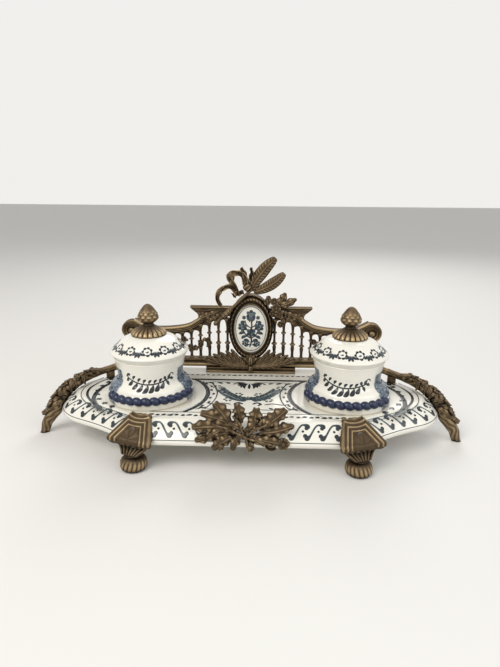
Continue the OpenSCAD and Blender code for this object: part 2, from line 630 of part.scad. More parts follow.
module arm(s) {
  color(bronze) mirror([s < 0 ? 1 : 0, 0, 0]) difference() {
    union() {
      above_table() branch();
      arm_screw_place(1) cylinder(r = arm_boss_r, h = arm_grip - 2);
    }
    tray_form();
    translate([rail_x - 20, gallery_y - 10, top_z]) cube([20, 20, 20]);
    arm_screw_place(1) translate([0, 0, -1]) cylinder(r = screw_r + hole_gap, h = arm_grip + 1);
  }
}
arm_grip = 8;
arm_boss_r = screw_r + 1.8;
module arm_screw_place(s) {
  p = arm_path[10];
  translate([s * p[0], p[1], top_z]) children();
}
module arm_screws() {
  low = -plate_t - 2.6;
  color(iron) for (s = [-1, 1]) arm_screw_place(s) {
    translate([0, 0, low]) cylinder(r = screw_r, h = arm_grip - 0.3 - low);
    translate([0, 0, low]) cylinder(r = 4.2, h = 2.6);
  }
}
// Leaves and berries wrapped round the middle of an arm
module arm_foliage(s) {
  color(bronze) mirror([s < 0 ? 1 : 0, 0, 0]) difference() {
    above_table() union() {
      for (k = [0 : 8]) let (i = 12 + k * 2, a = [40, 140, 85, 20, 160, 95, 50, 130, 90][k])
        foliage_place(i, a) leaf_blade(11.5, 4.6, arm_girth[i]);
      for (k = [0 : 6]) let (i = 13 + k * 2, a = [100, 60, 125, 75, 110, 55, 90][k])
        foliage_place(i, a) translate([0, 0, arm_girth[i] + 0.6]) sphere(r = 2.3, $fn = 14);
    }
    branch();
    tray_form();
  }
}
module foliage_place(i, a) {
  t = heading(arm_path, i);
  translate(arm_path[i]) rotate([0, 0, atan2(t[1], t[0])]) rotate([0, -asin(t[2]), 0])
    rotate([a - 90, 0, 0]) children();
}
// A curved leaf that starts on the branch and lifts off it
module leaf_blade(length, w, lift) {
  p = spline([[-length / 2, lift - 0.8], [-length / 6, lift + 1], [length / 4, lift + 1.9],
    [length / 2, lift + 0.4]], 3);
  n = len(p) - 1;
  skin([for (i = [0 : n]) let (h = max(0.5, w * pow(sin(180 * (i + 0.35) / (n + 0.7)), 0.8)))
    [[p[i][0], -h, p[i][1] - h * 0.45 - 0.7], [p[i][0], 0, p[i][1] - 1.3],
     [p[i][0], h, p[i][1] - h * 0.45 - 0.7], [p[i][0], h * 0.9, p[i][1] - h * 0.3 + 0.3],
     [p[i][0], 0, p[i][1] + 0.7], [p[i][0], -h * 0.9, p[i][1] - h * 0.3 + 0.3]]]);
}

// Foot brackets, seated on the tray's rounded corners
module corner_place(s, f) {
  mirror([s < 0 ? 1 : 0, 0, 0]) mirror([0, f > 0 ? 1 : 0, 0]) translate([corner_x, -corner_y, 0])
    rotate(bracket_turn) children();
}
bracket_z = band_z + 0.5;
// Side view of a bracket: distance out from the corner's centre, and height
function bracket_side(grow) = concat([[corner_r - 2 + grow, top_z + 0.9 - grow * 0.3],
  [corner_r + 1 + grow, top_z + 0.9 - grow * 0.3], [bracket_u + grow, bracket_z],
  [bracket_u + grow, bracket_z - 2.6]],
  spline([[bracket_u - 1 + grow, bracket_z - 4.6], [bracket_u - 5 + grow * 0.5, (bracket_z + bun_h) / 2 - 1.5],
    [bun_u + 6.4, bun_h + grow]], 4),
  [[bun_u - 6.4 + grow, bun_h + grow], [bun_u - 8.5 + grow, low_z + grow], [corner_r - 2 + grow, low_z + 3 + grow]]);
// Front view of a bracket, inset by a step
function bracket_front(step) = let (low = bracket_z - 3.4 + step * 0.3, wide = bracket_wide - step * 1.2,
  neck = 6.4 - step * 0.3)
  concat([[-bracket_top + step, top_z + 1 - step * 0.9], [-wide, bracket_z - step * 0.2]],
    spline([[-wide, low], [-wide * 0.76, (low + bun_h) / 2 + 1], [-neck, bun_h]], 3),
    spline([[neck, bun_h], [wide * 0.76, (low + bun_h) / 2 + 1], [wide, low]], 3),
    [[wide, bracket_z - step * 0.2], [bracket_top - step, top_z + 1 - step * 0.9]]);
module bracket_block(grow, step) {
  intersection() {
    rotate([90, 0, -90]) translate([0, 0, -25]) linear_extrude(50) polygon(bracket_side(grow));
    rotate([90, 0, 0]) linear_extrude(60) polygon(bracket_front(step));
  }
}
module bracket_blocks(s, f) {
  corner_place(s, f) for (k = [0 : 2]) bracket_block(k * 0.8, k * 2.6);
}
module between(z0, z1) {
  intersection() {
    children();
    translate([-300, -300, z0]) cube([600, 600, z1 - z0]);
  }
}
// Beside the tray a bracket is hollowed to its band; over and under the tray it stays whole
module bracket(s, f) {
  band = concat([[outer_form[0][0], low_z - 3]], outer_form, [[0, top_z + 3]]);
  color(bronze) difference() {
    union() {
      between(0, low_z) bracket_blocks(s, f);
      difference() {
        between(low_z, top_z) bracket_blocks(s, f);
        skin([for (p = band) ring_at(p[0], p[1])]);
      }
      between(top_z, top_z + 5) bracket_blocks(s, f);
    }
    corner_place(s, f) translate([0, -bun_u, bun_h - 1])
      cylinder(r = stud_r + hole_gap, h = stud_high + 1.2 - bun_h);
    bracket_screw_place(s, f) translate([0, 0, -12]) cylinder(r = screw_r + hole_gap, h = 15);
  }
}
module bun(s, f) {
  color(bronze) corner_place(s, f) translate([0, -bun_u, 0]) difference() {
    rotate_extrude($fn = 64) polygon(concat([[0, 0], [bun_r * 0.72, 0]],
      spline([[bun_r * 0.93, 1.6], [bun_r, bun_h * 0.33], [bun_r * 0.95, bun_h * 0.54],
        [bun_r * 0.8, bun_h * 0.7], [5.2, bun_h * 0.82]], 3),
      [[5, bun_h * 0.88], [6.4, bun_h * 0.94], [6.4, bun_h], [0, bun_h]]));
    for (k = [0 : 15]) rotate(k * 22.5) translate([bun_r + 0.5, 0, bun_h * 0.1])
      cylinder(r = 0.9, h = bun_h * 0.42, $fn = 20);
    translate([0, 0, stud_low - 0.4]) cylinder(r = stud_r + hole_gap, h = bun_h);
  }
}
module foot_studs() {
  color(iron) for (s = [-1, 1], f = [-1, 1]) corner_place(s, f)
    translate([0, -bun_u, stud_low]) cylinder(r = stud_r, h = stud_high - stud_low);
}
// Screws that pull the brackets against the band, from inside the tray
screw_lean = atan2(band_drop, band_out);
bracket_seat = tray_wall + 0.6;
module bracket_screw_place(s, f) {
  corner_place(s, f) translate([0, -(corner_r + band_out * 0.62), top_z - band_drop * 0.62])
    rotate([screw_lean + 90 - 2 * screw_lean, 0, 0]) children();
}
module bracket_screws() {
  color(iron) for (s = [-1, 1], f = [-1, 1]) bracket_screw_place(s, f) {
    translate([0, 0, -bracket_seat]) cylinder(r = screw_r, h = bracket_seat + 2.6);
    translate([0, 0, -bracket_seat - 2.6]) cylinder(r = 3.6, h = 2.6);
  }
}

// Spray of oak leaves and acorns on the front edge
spray_y = half_depth + band_out + 0.2;
spray_z = low_z - 1.5;
spray_seat = 3;
module spray_screw_place(s) {
  translate([s * 14, -spray_y + 8, band_z - 1]) rotate([90, 0, 0]) children();
}
module spray_leaf(root, turn, length, w, depth) {
  p = [for (t = [0 : 12]) root + length * t / 12 * [cos(turn + t), sin(turn + t)]];
  upright(-spray_y - depth, -spray_y + 0.3) polygon(leaf(p, w, 3, 0.42));
}
module front_spray() {
  k = spray_x / 38;
  h = spray_h / 31;
  c = [0, spray_z + 14 * h];
  color(bronze) difference() {
    union() {
      for (q = [[-6, 4, 168, 33, 6.4, 3], [-8, 1, 184, 30, 5.6, 2], [-10, 7, 148, 24, 5.6, 2.6],
        [-12, 8, 112, 19, 5.8, 3.4], [-4, 8, 88, 15, 5, 2.4], [4, 5, 64, 16, 5.4, 3],
        [8, 5, 24, 26, 6.2, 3.2], [10, 1, 2, 25, 5.4, 2.4], [8, -3, -22, 19, 5, 2.8],
        [-10, -3, 204, 17, 5.4, 3.2], [2, -2, -86, 12, 3.6, 2.6]])
        spray_leaf(c + [q[0] * k, q[1] * h], q[2], q[3] * k, q[4] * h, q[5]);
      for (q = [[-17, -9.5], [-29, -3.5], [10, 8], [20, -9], [27, -8]])
        upright(-spray_y - 4.4, -spray_y + 0.3) translate(c + [q[0] * k, q[1] * h]) circle(r = 3, $fn = 24);
      upright(-spray_y - 3.8, -spray_y + 0.3) polygon(even_strip(spline([c + [-22 * k, 8 * h],
        c + [-8 * k, 2 * h], c + [4 * k, -5 * h], c + [22 * k, -8 * h]], 5), 1.7));
      for (s = [-1, 1]) translate([s * 14, -spray_y + 0.3, band_z - 1]) rotate([-90, 0, 0])
        cylinder(r = 4.5, h = 8);
    }
    tray_form();
    for (s = [-1, 1]) spray_screw_place(s) translate([0, 0, -6]) cylinder(r = screw_r + hole_gap, h = 15.2);
  }
}
module spray_screws() {
  color(iron) for (s = [-1, 1]) spray_screw_place(s) {
    translate([0, 0, -spray_seat]) cylinder(r = screw_r, h = spray_seat + 8.8);
    translate([0, 0, -spray_seat - 2.6]) cylinder(r = 3.6, h = 2.6);
  }
}

tray();
at_pot(-1) translate([0, 0, top_z]) pot();  // pot_left
at_pot(1) translate([0, 0, top_z]) pot();  // pot_right
pot_bolts();
at_pot(-1) liner();  // liner_left
at_pot(1) liner();  // liner_right
at_pot(-1) lid();  // lid_left
at_pot(1) lid();  // lid_right
at_pot(-1) calyx();  // calyx_left
at_pot(1) calyx();  // calyx_right
at_pot(-1) finial();  // finial_left
at_pot(1) finial();  // finial_right
at_pot(-1) lid_nut();  // lid_nut_left
at_pot(1) lid_nut();  // lid_nut_right
gallery_plinth();
gallery_base_rail();
color(bronze) gallery_side(-1);  // gallery_side_left
color(bronze) gallery_side(1);  // gallery_side_right
gallery_screws();
plaque_frame();
plaque();
plaque_back();
plaque_screws();
gallery_leaves();
gallery_arrow();
gallery_ribbon();
gallery_flowers();
color(bronze) garland([[-63, 20], [-61, 13], [-54, 8.5], [-48, 12], [-43, 19], [-38, 14]]);  // garland_left
color(bronze) garland([[58, 19], [60, 12], [66, 8.5], [72, 11.5], [77, 16]]);  // garland_right
arm(-1);  // arm_left
arm(1);  // arm_right
arm_foliage(-1);  // arm_foliage_left
arm_foliage(1);  // arm_foliage_right
arm_screws();
bracket(-1, -1);  // bracket_front_left
bracket(1, -1);  // bracket_front_right
bracket(-1, 1);  // bracket_rear_left
bracket(1, 1);  // bracket_rear_right
bun(-1, -1);  // bun_front_left
bun(1, -1);  // bun_front_right
bun(-1, 1);  // bun_rear_left
bun(1, 1);  // bun_rear_right
foot_studs();
bracket_screws();
front_spray();
spray_screws();
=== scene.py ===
"""The looks of a desk inkstand: painted glaze, brushwork and chased bronze around a CAD frame."""

import json
import logging
import math
from dataclasses import dataclass, field
from typing import Any, Callable, Dict, List, Sequence, Tuple, Union

import bpy
import numpy as np
from mathutils import Matrix, Vector


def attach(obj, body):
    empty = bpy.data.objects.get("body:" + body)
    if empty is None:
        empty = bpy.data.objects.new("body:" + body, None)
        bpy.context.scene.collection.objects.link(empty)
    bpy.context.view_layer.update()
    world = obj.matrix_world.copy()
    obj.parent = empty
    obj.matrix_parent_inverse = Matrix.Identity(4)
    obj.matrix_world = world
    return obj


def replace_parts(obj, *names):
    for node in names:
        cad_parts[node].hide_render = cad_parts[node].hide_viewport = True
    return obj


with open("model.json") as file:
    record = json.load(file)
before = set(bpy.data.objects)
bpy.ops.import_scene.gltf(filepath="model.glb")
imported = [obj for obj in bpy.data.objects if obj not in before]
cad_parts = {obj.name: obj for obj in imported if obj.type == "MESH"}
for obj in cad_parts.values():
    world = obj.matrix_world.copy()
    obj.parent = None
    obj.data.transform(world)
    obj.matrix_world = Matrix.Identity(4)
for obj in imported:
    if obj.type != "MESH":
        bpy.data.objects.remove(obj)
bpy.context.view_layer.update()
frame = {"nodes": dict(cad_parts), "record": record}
log = logging.getLogger("inkstand")

Array = np.ndarray
Colour = Tuple[float, float, float, float]
Value = Union["Wire", float, int, Colour, Tuple[float, float, float]]
MM = 0.001
TAU = 2 * math.pi
SIDES = {"left": -1.0, "right": 1.0}
CREASE = math.radians(50)
AHEAD = 0.0004
BORE = 0.0001


def shade(red: float, green: float, blue: float) -> Colour:
    """Returns a linear colour from sRGB parts between 0 and 1."""
    return tuple(((c + 0.055) / 1.055) ** 2.4 if c > 0.04045 else c / 12.92 for c in (red, green,
            blue)) + (1.0,)


# Shader maths


class Wire:
    """One output socket, or a plain number, that takes part in shader arithmetic."""

    def __init__(self, bench: "Bench", socket: Any) -> None:
        """Keeps the material that the socket belongs to."""
        self.bench = bench
        self.socket = socket

    def math(self, operation: str, *others: Value) -> "Wire":
        """Adds a Math node.

        Args:
            operation: the Math node's operation.
            others: the values that follow this one.

        Returns:
            The node's result.
        """
        return self.bench.node("ShaderNodeMath", {"operation": operation},
                               dict(enumerate((self,) + others)))

    def __add__(self, other: Value) -> "Wire":
        """Sum."""
        return self.math("ADD", other)

    __radd__ = __add__

    def __sub__(self, other: Value) -> "Wire":
        """Difference."""
        return self.math("SUBTRACT", other)

    def __rsub__(self, other: Value) -> "Wire":
        """Difference from a number."""
        return self.bench.wire(other).math("SUBTRACT", self)

    def __mul__(self, other: Value) -> "Wire":
        """Product."""
        return self.math("MULTIPLY", other)

    __rmul__ = __mul__

    def __truediv__(self, other: Value) -> "Wire":
        """Quotient."""
        return self.math("DIVIDE", other)

    def __pow__(self, other: Value) -> "Wire":
        """Power."""
        return self.math("POWER", other)

    def clamp(self) -> "Wire":
        """Limits the value to 0 to 1."""
        return self.math("MINIMUM", 1.0).math("MAXIMUM", 0.0)

    def step(self, low: float, high: float) -> "Wire":
        """Smooth step from 0 at low to 1 at high."""
        return self.bench.node(
            "ShaderNodeMapRange",
            {"interpolation_type": "SMOOTHSTEP"},
            {"Value": self, "From Min": low, "From Max": high},
        )


class Bench:
    """Builds one material's node tree around a Principled shader."""

    def __init__(self, name: str) -> None:
        """Makes an empty material with its output."""
        self.material = bpy.data.materials.new(name)
        self.material.use_nodes = True
        self.tree = self.material.node_tree
        self.tree.nodes.clear()
        self.output = self.tree.nodes.new("ShaderNodeOutputMaterial")
        self.shader = self.tree.nodes.new("ShaderNodeBsdfPrincipled")
        self.tree.links.new(self.shader.outputs[0], self.output.inputs["Surface"])

    def node(self, kind: str, settings: Dict[str, Any], inputs: Dict[Any, Value], out: Any = 0) -> Wire:
        """Adds any node.

        Args:
            kind: the node's type.
            settings: properties that are set first; "stops" sets a colour ramp.
            inputs: values or wires for its sockets, by name or index.
            out: name or index of the output that is returned.

        Returns:
            That output as a wire.
        """
        made = self.tree.nodes.new(kind)
        for key, value in settings.items():
            if key == "stops":
                ramp = made.color_ramp
                while len(ramp.elements) < len(value):
                    ramp.elements.new(0.5)
                for element, (place, colour) in zip(ramp.elements, value):
                    element.position = place
                    element.color = colour
            else:
                setattr(made, key, value)
        for key, value in inputs.items():
            self.set(made.inputs[key], value)
        return Wire(self, made.outputs[out])

    def set(self, socket: Any, value: Value) -> None:
        """Links a wire to a socket, or sets the socket's own value."""
        if isinstance(value, Wire):
            self.tree.links.new(value.socket, socket)
        elif hasattr(socket.default_value, "__len__") and not hasattr(value, "__len__"):
            socket.default_value = (value,) * len(socket.default_value)
        else:
            socket.default_value = value

    def wire(self, value: Value) -> Wire:
        """Returns a value as a wire."""
        if isinstance(value, Wire):
            return value
        return self.node("ShaderNodeMath", {"operation": "ADD"}, {0: value, 1: 0.0})

    def place(self) -> Wire:
        """Object coordinates."""
        return self.node("ShaderNodeTexCoord", {}, {}, "Object")

    def attribute(self, name: str) -> Wire:
        """A number stored on the mesh's points."""
        return self.node("ShaderNodeAttribute", {"attribute_name": name}, {}, "Fac")

    def noise(self, scale: float, detail: float = 3.0, rough: float = 0.55) -> Wire:
        """Fractal noise of a size given per metre."""
        sockets = {"Vector": self.place(), "Scale": scale, "Detail": detail, "Roughness": rough}
        return self.node("ShaderNodeTexNoise", {}, sockets, 0)

    def cells(self, scale: float) -> Wire:
        """Distance to the edge in a pattern of cells of a size given per metre."""
        sockets = {"Vector": self.place(), "Scale": scale}
        return self.node("ShaderNodeTexVoronoi", {"feature": "DISTANCE_TO_EDGE"}, sockets, 0)

    def mix(self, share: Value, first: Value, second: Value) -> Wire:
        """Mixes two colours."""
        return self.node("ShaderNodeMix", {"data_type": "RGBA"}, {0: share, 6: first, 7: second}, 2)

    def parts(self, vector: Wire) -> Tuple[Wire, Wire, Wire]:
        """Splits a vector into its three numbers."""
        split = self.tree.nodes.new("ShaderNodeSeparateXYZ")
        self.tree.links.new(vector.socket, split.inputs[0])
        return tuple(Wire(self, socket) for socket in split.outputs)

    def bump(self, height: Wire, distance: float, strength: float = 1.0) -> Wire:
        """A Bump node's normal for a height in metres times distance."""
        return self.node("ShaderNodeBump", {},
                         {"Height": height, "Distance": distance, "Strength": strength}, 0)

    def finish(self, **sockets: Value) -> bpy.types.Material:
        """Sets the Principled shader's sockets by name and returns the material."""
        for key, value in sockets.items():
            self.set(self.shader.inputs[key.replace("_", " ")], value)
        return self.material


@dataclass(frozen=True)
class Bronze:
    """Dark patinated bronze, worn bright on its high places, with painted shade in occluded hollows and a
    painted highlight on open crests.
    """

    name: str = "chased_bronze"
    # Patina of the recesses, darkened to serve as painted shade where occlusion is high.
    hollow: Colour = shade(0.11, 0.085, 0.06)
    body: Colour = shade(0.325, 0.265, 0.19)
    # Worn colour of the high places, lightened to serve as a painted highlight.
    crest_wear_and_highlight: Colour = shade(0.66, 0.57, 0.43)
    roughness: float = 0.40
    # Reach of the occlusion that paints shade into the hollows.
    reach: float = 0.004

    def make(self) -> bpy.types.Material:
        """Mixes three colours by occlusion, the mesh's relief and noise: patina darkened as painted shade
        where occluded, and wear lightened as a painted highlight on open high places.
        """
        bench = Bench(self.name)
        shelter = bench.node("ShaderNodeAmbientOcclusion", {"samples": 6}, {"Distance": self.reach}, "AO")
        relief = bench.attribute("relief")
        cloud = bench.noise(130.0, 4.0, 0.6)
        grain = bench.noise(900.0, 3.0, 0.6)
        # Painted shade: occluded places go from the body colour towards the dark patina.
        unshaded = (shelter ** 1.8) * 0.8 + cloud * 0.3
        tone = bench.mix(unshaded.step(0.25, 0.9), self.hollow, self.body)
        # Painted highlight and wear: high places that are not occluded take the light worn colour.
        rubbed_and_highlit = (relief * 0.8 + cloud * 0.35).step(0.42, 0.88) * shelter.step(0.45, 0.9)
        colour = bench.mix(rubbed_and_highlit, tone, self.crest_wear_and_highlight)
        skin = bench.bump(grain * 0.6 + cloud * 0.4, 0.00012, 0.6)
        return bench.finish(
            Base_Color=colour,
            Metallic=0.70,
            Roughness=(self.roughness + 0.12) - rubbed_and_highlit * 0.14 + grain * 0.08,
            Normal=skin,
        )


@dataclass(frozen=True)
class Glaze:
    """Milk-white tin glaze with faint crackle, with a cream painted shade where occlusion shelters it."""

    name: str = "white_glaze"
    white: Colour = shade(0.925, 0.915, 0.875)
    # Cream used as painted shade in occluded places.
    cream: Colour = shade(0.84, 0.815, 0.75)
    crackle: Colour = shade(0.66, 0.60, 0.50)
    # Reach of the occlusion that paints the cream shade.
    shade_reach: float = 0.010

    def base(self, bench: Bench) -> Wire:
        """Returns the glaze's colour: a cream painted shade in sheltered places, white in the open, with
        crackle lines.
        """
        shelter = bench.node("ShaderNodeAmbientOcclusion", {"samples": 6}, {"Distance": self.shade_reach}, "AO")
        cloud = bench.noise(45.0, 3.0)
        # Painted shade: occluded places turn from white towards cream.
        unshaded = (shelter.step(0.35, 0.95) * 0.85 + cloud * 0.35).clamp()
        ground = bench.mix(unshaded, self.cream, self.white)
        line = 1 - bench.cells(420.0).step(0.0, 0.035)
        return bench.mix(line * bench.noise(60.0).step(0.45, 0.7) * 0.35, ground, self.crackle)

    def make(self) -> bpy.types.Material:
        """Builds the plain glaze."""
        bench = Bench(self.name)
        return self.gloss(bench, self.base(bench))

    def gloss(self, bench: Bench, colour: Wire) -> bpy.types.Material:
        """Gives a colour the glaze's gloss and soft waves."""
        wave = bench.bump(bench.noise(75.0, 2.0), 0.0006, 0.25)
        return bench.finish(
            Base_Color=colour,
            Roughness=0.16 + bench.noise(200.0) * 0.1,
            Normal=wave,
            Coat_Weight=0.35,
            Coat_Roughness=0.08,
            Specular_IOR_Level=0.5,
        )


@dataclass(frozen=True)
class SpongedGlaze(Glaze):
    """Glaze with sponged blue panels on both sides of a pot, left white in front and behind."""

    name: str = "sponged_glaze"
    centre: Tuple[float, float] = (0.0, 0.0)
    turn: float = 0.0
    reserve: float = math.radians(52)
    low: float = 0.0
    high: float = 0.0
    pale: Colour = shade(0.42, 0.50, 0.57)
    deep: Colour = shade(0.10, 0.16, 0.25)

    def make(self) -> bpy.types.Material:
        """Builds the glaze with its panels, from the angle round the pot and the height."""
        bench = Bench(self.name)
        along, across, up = bench.parts(bench.place())
        angle = (along - self.centre[0]).math("ARCTAN2", (across - self.centre[1]) * -1.0) - self.turn
        turned = (angle.math("ABSOLUTE") - math.pi / 2).math("ABSOLUTE")
        edge = bench.noise(260.0, 2.0) * 0.12
        side = 1 - (turned + edge).step(math.pi / 2 - self.reserve, math.pi / 2 - self.reserve + 0.07)
        band = (up + edge * 0.01).step(self.low, self.low + 0.001)
        band = band * (1 - (up + edge * 0.01).step(self.high - 0.002, self.high))
        dabs = bench.noise(620.0, 4.0, 0.75)
        wash = bench.mix(dabs.step(0.38, 0.62), self.pale, self.deep)
        cover = side * band * (0.55 + dabs.step(0.25, 0.5) * 0.45)
        return self.gloss(bench, bench.mix(cover, self.base(bench), wash))


@dataclass(frozen=True)
class Ink:
    """Underglaze blue, darker where the brush was loaded."""

    name: str = "blue_ink"
    thin: Colour = shade(0.27, 0.36, 0.40)
    full: Colour = shade(0.06, 0.10, 0.13)
    spread: float = 0.5

    def make(self) -> bpy.types.Material:
        """Mixes thin and full ink by the stroke's load and noise."""
        bench = Bench(self.name)
        load = bench.attribute("load")
        cloud = bench.noise(700.0, 3.0, 0.7)
        colour = bench.mix((load * 0.8 + cloud * self.spread).step(0.25, 0.95), self.thin, self.full)
        return bench.finish(Base_Color=colour, Roughness=0.2 + cloud * 0.12, Coat_Weight=0.3,
                            Coat_Roughness=0.1)


@dataclass(frozen=True)
class Rope:
    """Blue and white glaze of the rope mouldings."""

    name: str = "rope_glaze"
    blue: Colour = shade(0.03, 0.10, 0.24)
    white: Colour = shade(0.78, 0.79, 0.79)

    def make(self) -> bpy.types.Material:
        """Makes the rope blue where it runs across the front and white where it thins round the back."""
        bench = Bench(self.name)
        cloud = bench.noise(500.0, 3.0, 0.7)
        level = (bench.attribute("relief") + cloud * 0.25).step(0.25, 0.62)
        return bench.finish(Base_Color=bench.mix(level, self.white, self.blue),
                            Roughness=0.30 + cloud * 0.12, Coat_Weight=0.12, Coat_Roughness=0.15)


@dataclass(frozen=True)
class Iron:
    """Dull steel of screws, bolts and nuts."""

    name: str = "dull_iron"
    grey: Colour = shade(0.36, 0.34, 0.31)
    rust: Colour = shade(0.30, 0.20, 0.13)

    def make(self) -> bpy.types.Material:
        """Mixes grey metal with rust by noise."""
        bench = Bench(self.name)
        cloud = bench.noise(300.0, 4.0)
        colour = bench.mix(cloud.step(0.5, 0.7), self.grey, self.rust)
        return bench.finish(Base_Color=colour, Metallic=0.8, Roughness=0.45 + cloud * 0.25)


# Surfaces worked out on grids


@dataclass
class Shell:
    """Points, faces and a relief value per point, gathered before they become one mesh."""

    points: List[Array] = field(default_factory=list)
    faces: List[Array] = field(default_factory=list)
    corners: List[Array] = field(default_factory=list)
    values: List[Array] = field(default_factory=list)
    count: int = 0

    def add(self, points: Array, faces: Sequence[Array], value: Array) -> None:
        """Adds points (n, 3), lists of faces as index arrays, and a value per point."""
        self.points.append(points.reshape(-1, 3))
        self.values.append(np.broadcast_to(value, points.shape[:-1]).reshape(-1).astype(float))
        for block in faces:
            self.faces.append(block.reshape(-1) + self.count)
            self.corners.append(np.full(block.shape[0], block.shape[1]))
        self.count += points.reshape(-1, 3).shape[0]

    def grid(self, points: Array, value: Union[Array, float] = 0.5) -> None:
        """Adds a closed surface on a grid (rows, columns, 3) whose columns join up.

        The faces join point (i, j) to (i, j + 1), (i + 1, j + 1) and (i + 1, j), and one face closes
        each end. Rows that turn anticlockwise as seen from the far end face outwards.
        """
        rows, cols = points.shape[:2]
        index = np.arange(rows * cols).reshape(rows, cols)
        right = np.roll(index, -1, axis=1)
        quads = np.stack([index[:-1], right[:-1], right[1:], index[1:]], axis=-1).reshape(-1, 4)
        self.add(points, [quads, index[0][::-1][None], index[-1][None]], value)

    def loop(self, points: Array, value: Union[Array, float] = 0.5) -> None:
        """Adds a closed ring surface: rows and columns both join up."""
        rows, cols = points.shape[:2]
        index = np.arange(rows * cols).reshape(rows, cols)
        index = np.concatenate([index, index[:1]], axis=0)
        right = np.roll(index, -1, axis=1)
        quads = np.stack([index[:-1], right[:-1], right[1:], index[1:]], axis=-1).reshape(-1, 4)
        self.add(points, [quads], value)

    def sheet(self, top: Array, under: Array, value: Union[Array, float] = 0.5) -> None:
        """Adds a closed leaf between two grids of the same shape, joined along their edges."""
        rows, cols = top.shape[:2]
        index = np.arange(rows * cols).reshape(rows, cols)
        upper = np.stack([index[:-1, :-1], index[:-1, 1:], index[1:, 1:], index[1:, :-1]],
                         axis=-1).reshape(-1, 4)
        lower = upper[:, ::-1] + rows * cols
        rim = np.concatenate([index[0, :-1], index[:-1, -1], index[-1, :0:-1], index[:0:-1, 0]])
        ahead = np.roll(rim, -1)
        wall = np.stack([rim, rim + rows * cols, ahead + rows * cols, ahead], axis=-1)
        both = np.stack([top, under])
        level = np.broadcast_to(value, top.shape[:2])
        self.add(both, [upper, lower, wall], np.stack([level, level * 0.3]))

    def mirror(self, axis: int) -> None:
        """Mirrors everything gathered so far in one axis and turns its faces over."""
        turned = np.ones(3)
        turned[axis] = -1.0
        self.points = [p * turned for p in self.points]
        self.faces = [f.reshape(len(c), -1)[:, ::-1].reshape(-1) for f, c in zip(self.faces, self.corners)]

    def build(self, name: str, body: str, slot: str, material: bpy.types.Material,
              attribute: str = "relief") -> bpy.types.Object:
        """Makes the object.

        Args:
            name: the piece's name.
            body: the CAD body that it rides on.
            slot: the record's material slot; not used.
            material: its finish.
            attribute: name of the value stored on its points.

        Returns:
            The object, at the origin.
        """
        points = np.concatenate(self.points)
        corners = np.concatenate(self.corners)
        mesh = bpy.data.meshes.new(name)
        mesh.vertices.add(len(points))
        mesh.vertices.foreach_set("co", points.reshape(-1))
        indices = np.concatenate(self.faces)
        mesh.loops.add(len(indices))
        mesh.loops.foreach_set("vertex_index", indices)
        mesh.polygons.add(len(corners))
        mesh.polygons.foreach_set("loop_start", np.concatenate([[0], np.cumsum(corners)[:-1]]))
        mesh.polygons.foreach_set("loop_total", corners)
        mesh.polygons.foreach_set("use_smooth", np.full(len(corners), True))
        stored = mesh.attributes.new(attribute, "FLOAT", "POINT")
        stored.data.foreach_set("value", np.concatenate(self.values))
        mesh.update(calc_edges=True)
        mesh.validate()
        mesh.set_sharp_from_angle(angle=CREASE)
        mesh.materials.append(material)
        piece = bpy.data.objects.new(name, mesh)
        bpy.context.scene.collection.objects.link(piece)
        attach(piece, body)
        log.info("%s: %d points", name, len(points))
        return piece

    def cast(self, name: str, material: bpy.types.Material, node: str, body: str = "base",
             slot: str = "bronze") -> None:
        """Makes the object in place of a CAD node."""
        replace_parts(self.build(name, body, slot, material), node)


def curve(knots: Any, steps: int) -> Array:
    """Catmull-Rom curve through knots (n, k), with steps points between neighbours.

    Each stretch is 0.5 (2 b + (c - a) t + (2 a - 5 b + 4 c - d) t^2 + (3 b - a - 3 c + d) t^3).
    """
    p = np.asarray(knots, float)
    p = np.vstack([p[:1], p, p[-1:]])
    t = (np.arange(steps) / steps)[None, :, None]
    a, b, c, d = (p[i : len(p) - 3 + i, None] for i in range(4))
    body = 0.5 * (2 * b + (c - a) * t + (2 * a - 5 * b + 4 * c - d) * t**2 + (3 * b - a - 3 * c + d) * t**3)
    return np.vstack([body.reshape(-1, p.shape[1]), p[-1:]])


def arc(centre: Tuple[float, float], radius: float, start: float, stop: float, count: int) -> Array:
    """Points on a circle between two angles in degrees."""
    a = np.radians(np.linspace(start, stop, count))
    return np.stack([centre[0] + radius * np.cos(a), centre[1] + radius * np.sin(a)], axis=-1)


def unit(v: Array) -> Array:
    """Vectors scaled to length 1."""
    return v / np.maximum(np.linalg.norm(v, axis=-1, keepdims=True), 1e-12)


def tangents(path: Array) -> Array:
    """Unit directions along a path."""
    return unit(np.gradient(path, axis=0))


def distances(path: Array) -> Array:
    """Distance along a path at each of its points."""
    return np.concatenate([[0], np.cumsum(np.linalg.norm(np.diff(path, axis=0), axis=1))])


def carried(path: Array, up: Tuple[float, float, float] = (0.0, 0.0, 1.0)) -> Tuple[Array, Array]:
    """Two unit vectors across a path at each point: sideways, and as near up as can be."""
    t = tangents(path)
    side = unit(np.cross(t, np.asarray(up)))
    return side, np.cross(side, t)


def tube(path: Array, radius: Union[Array, float], sides: int = 16,
         up: Tuple[float, float, float] = (0.0, 0.0, 1.0)) -> Array:
    """Grid (n, sides, 3) of a round tube along a path: a ring is path + r (cos a side + sin a over).

    Args:
        path: points (n, 3).
        radius: radius per point.
        sides: points in a ring.
        up: direction from which the rings start.
    """
    side, over = carried(path, up)
    a = -np.linspace(0, TAU, sides, endpoint=False)
    r = np.broadcast_to(radius, len(path))[:, None, None]
    ring = np.cos(a)[None, :, None] * side[:, None] + np.sin(a)[None, :, None] * over[:, None]
    return path[:, None] + r * ring


def lathe(profile: Array, centre: Tuple[float, float], count: int = 128) -> Array:
    """Grid of a profile (radius, height) turned about an upright axis through centre."""
    a = np.linspace(0, TAU, count, endpoint=False)
    x = centre[0] + profile[:, :1] * np.cos(a)
    y = centre[1] + profile[:, :1] * np.sin(a)
    return np.stack([x, y, np.broadcast_to(profile[:, 1:], x.shape)], axis=-1)


# The camera and the studio


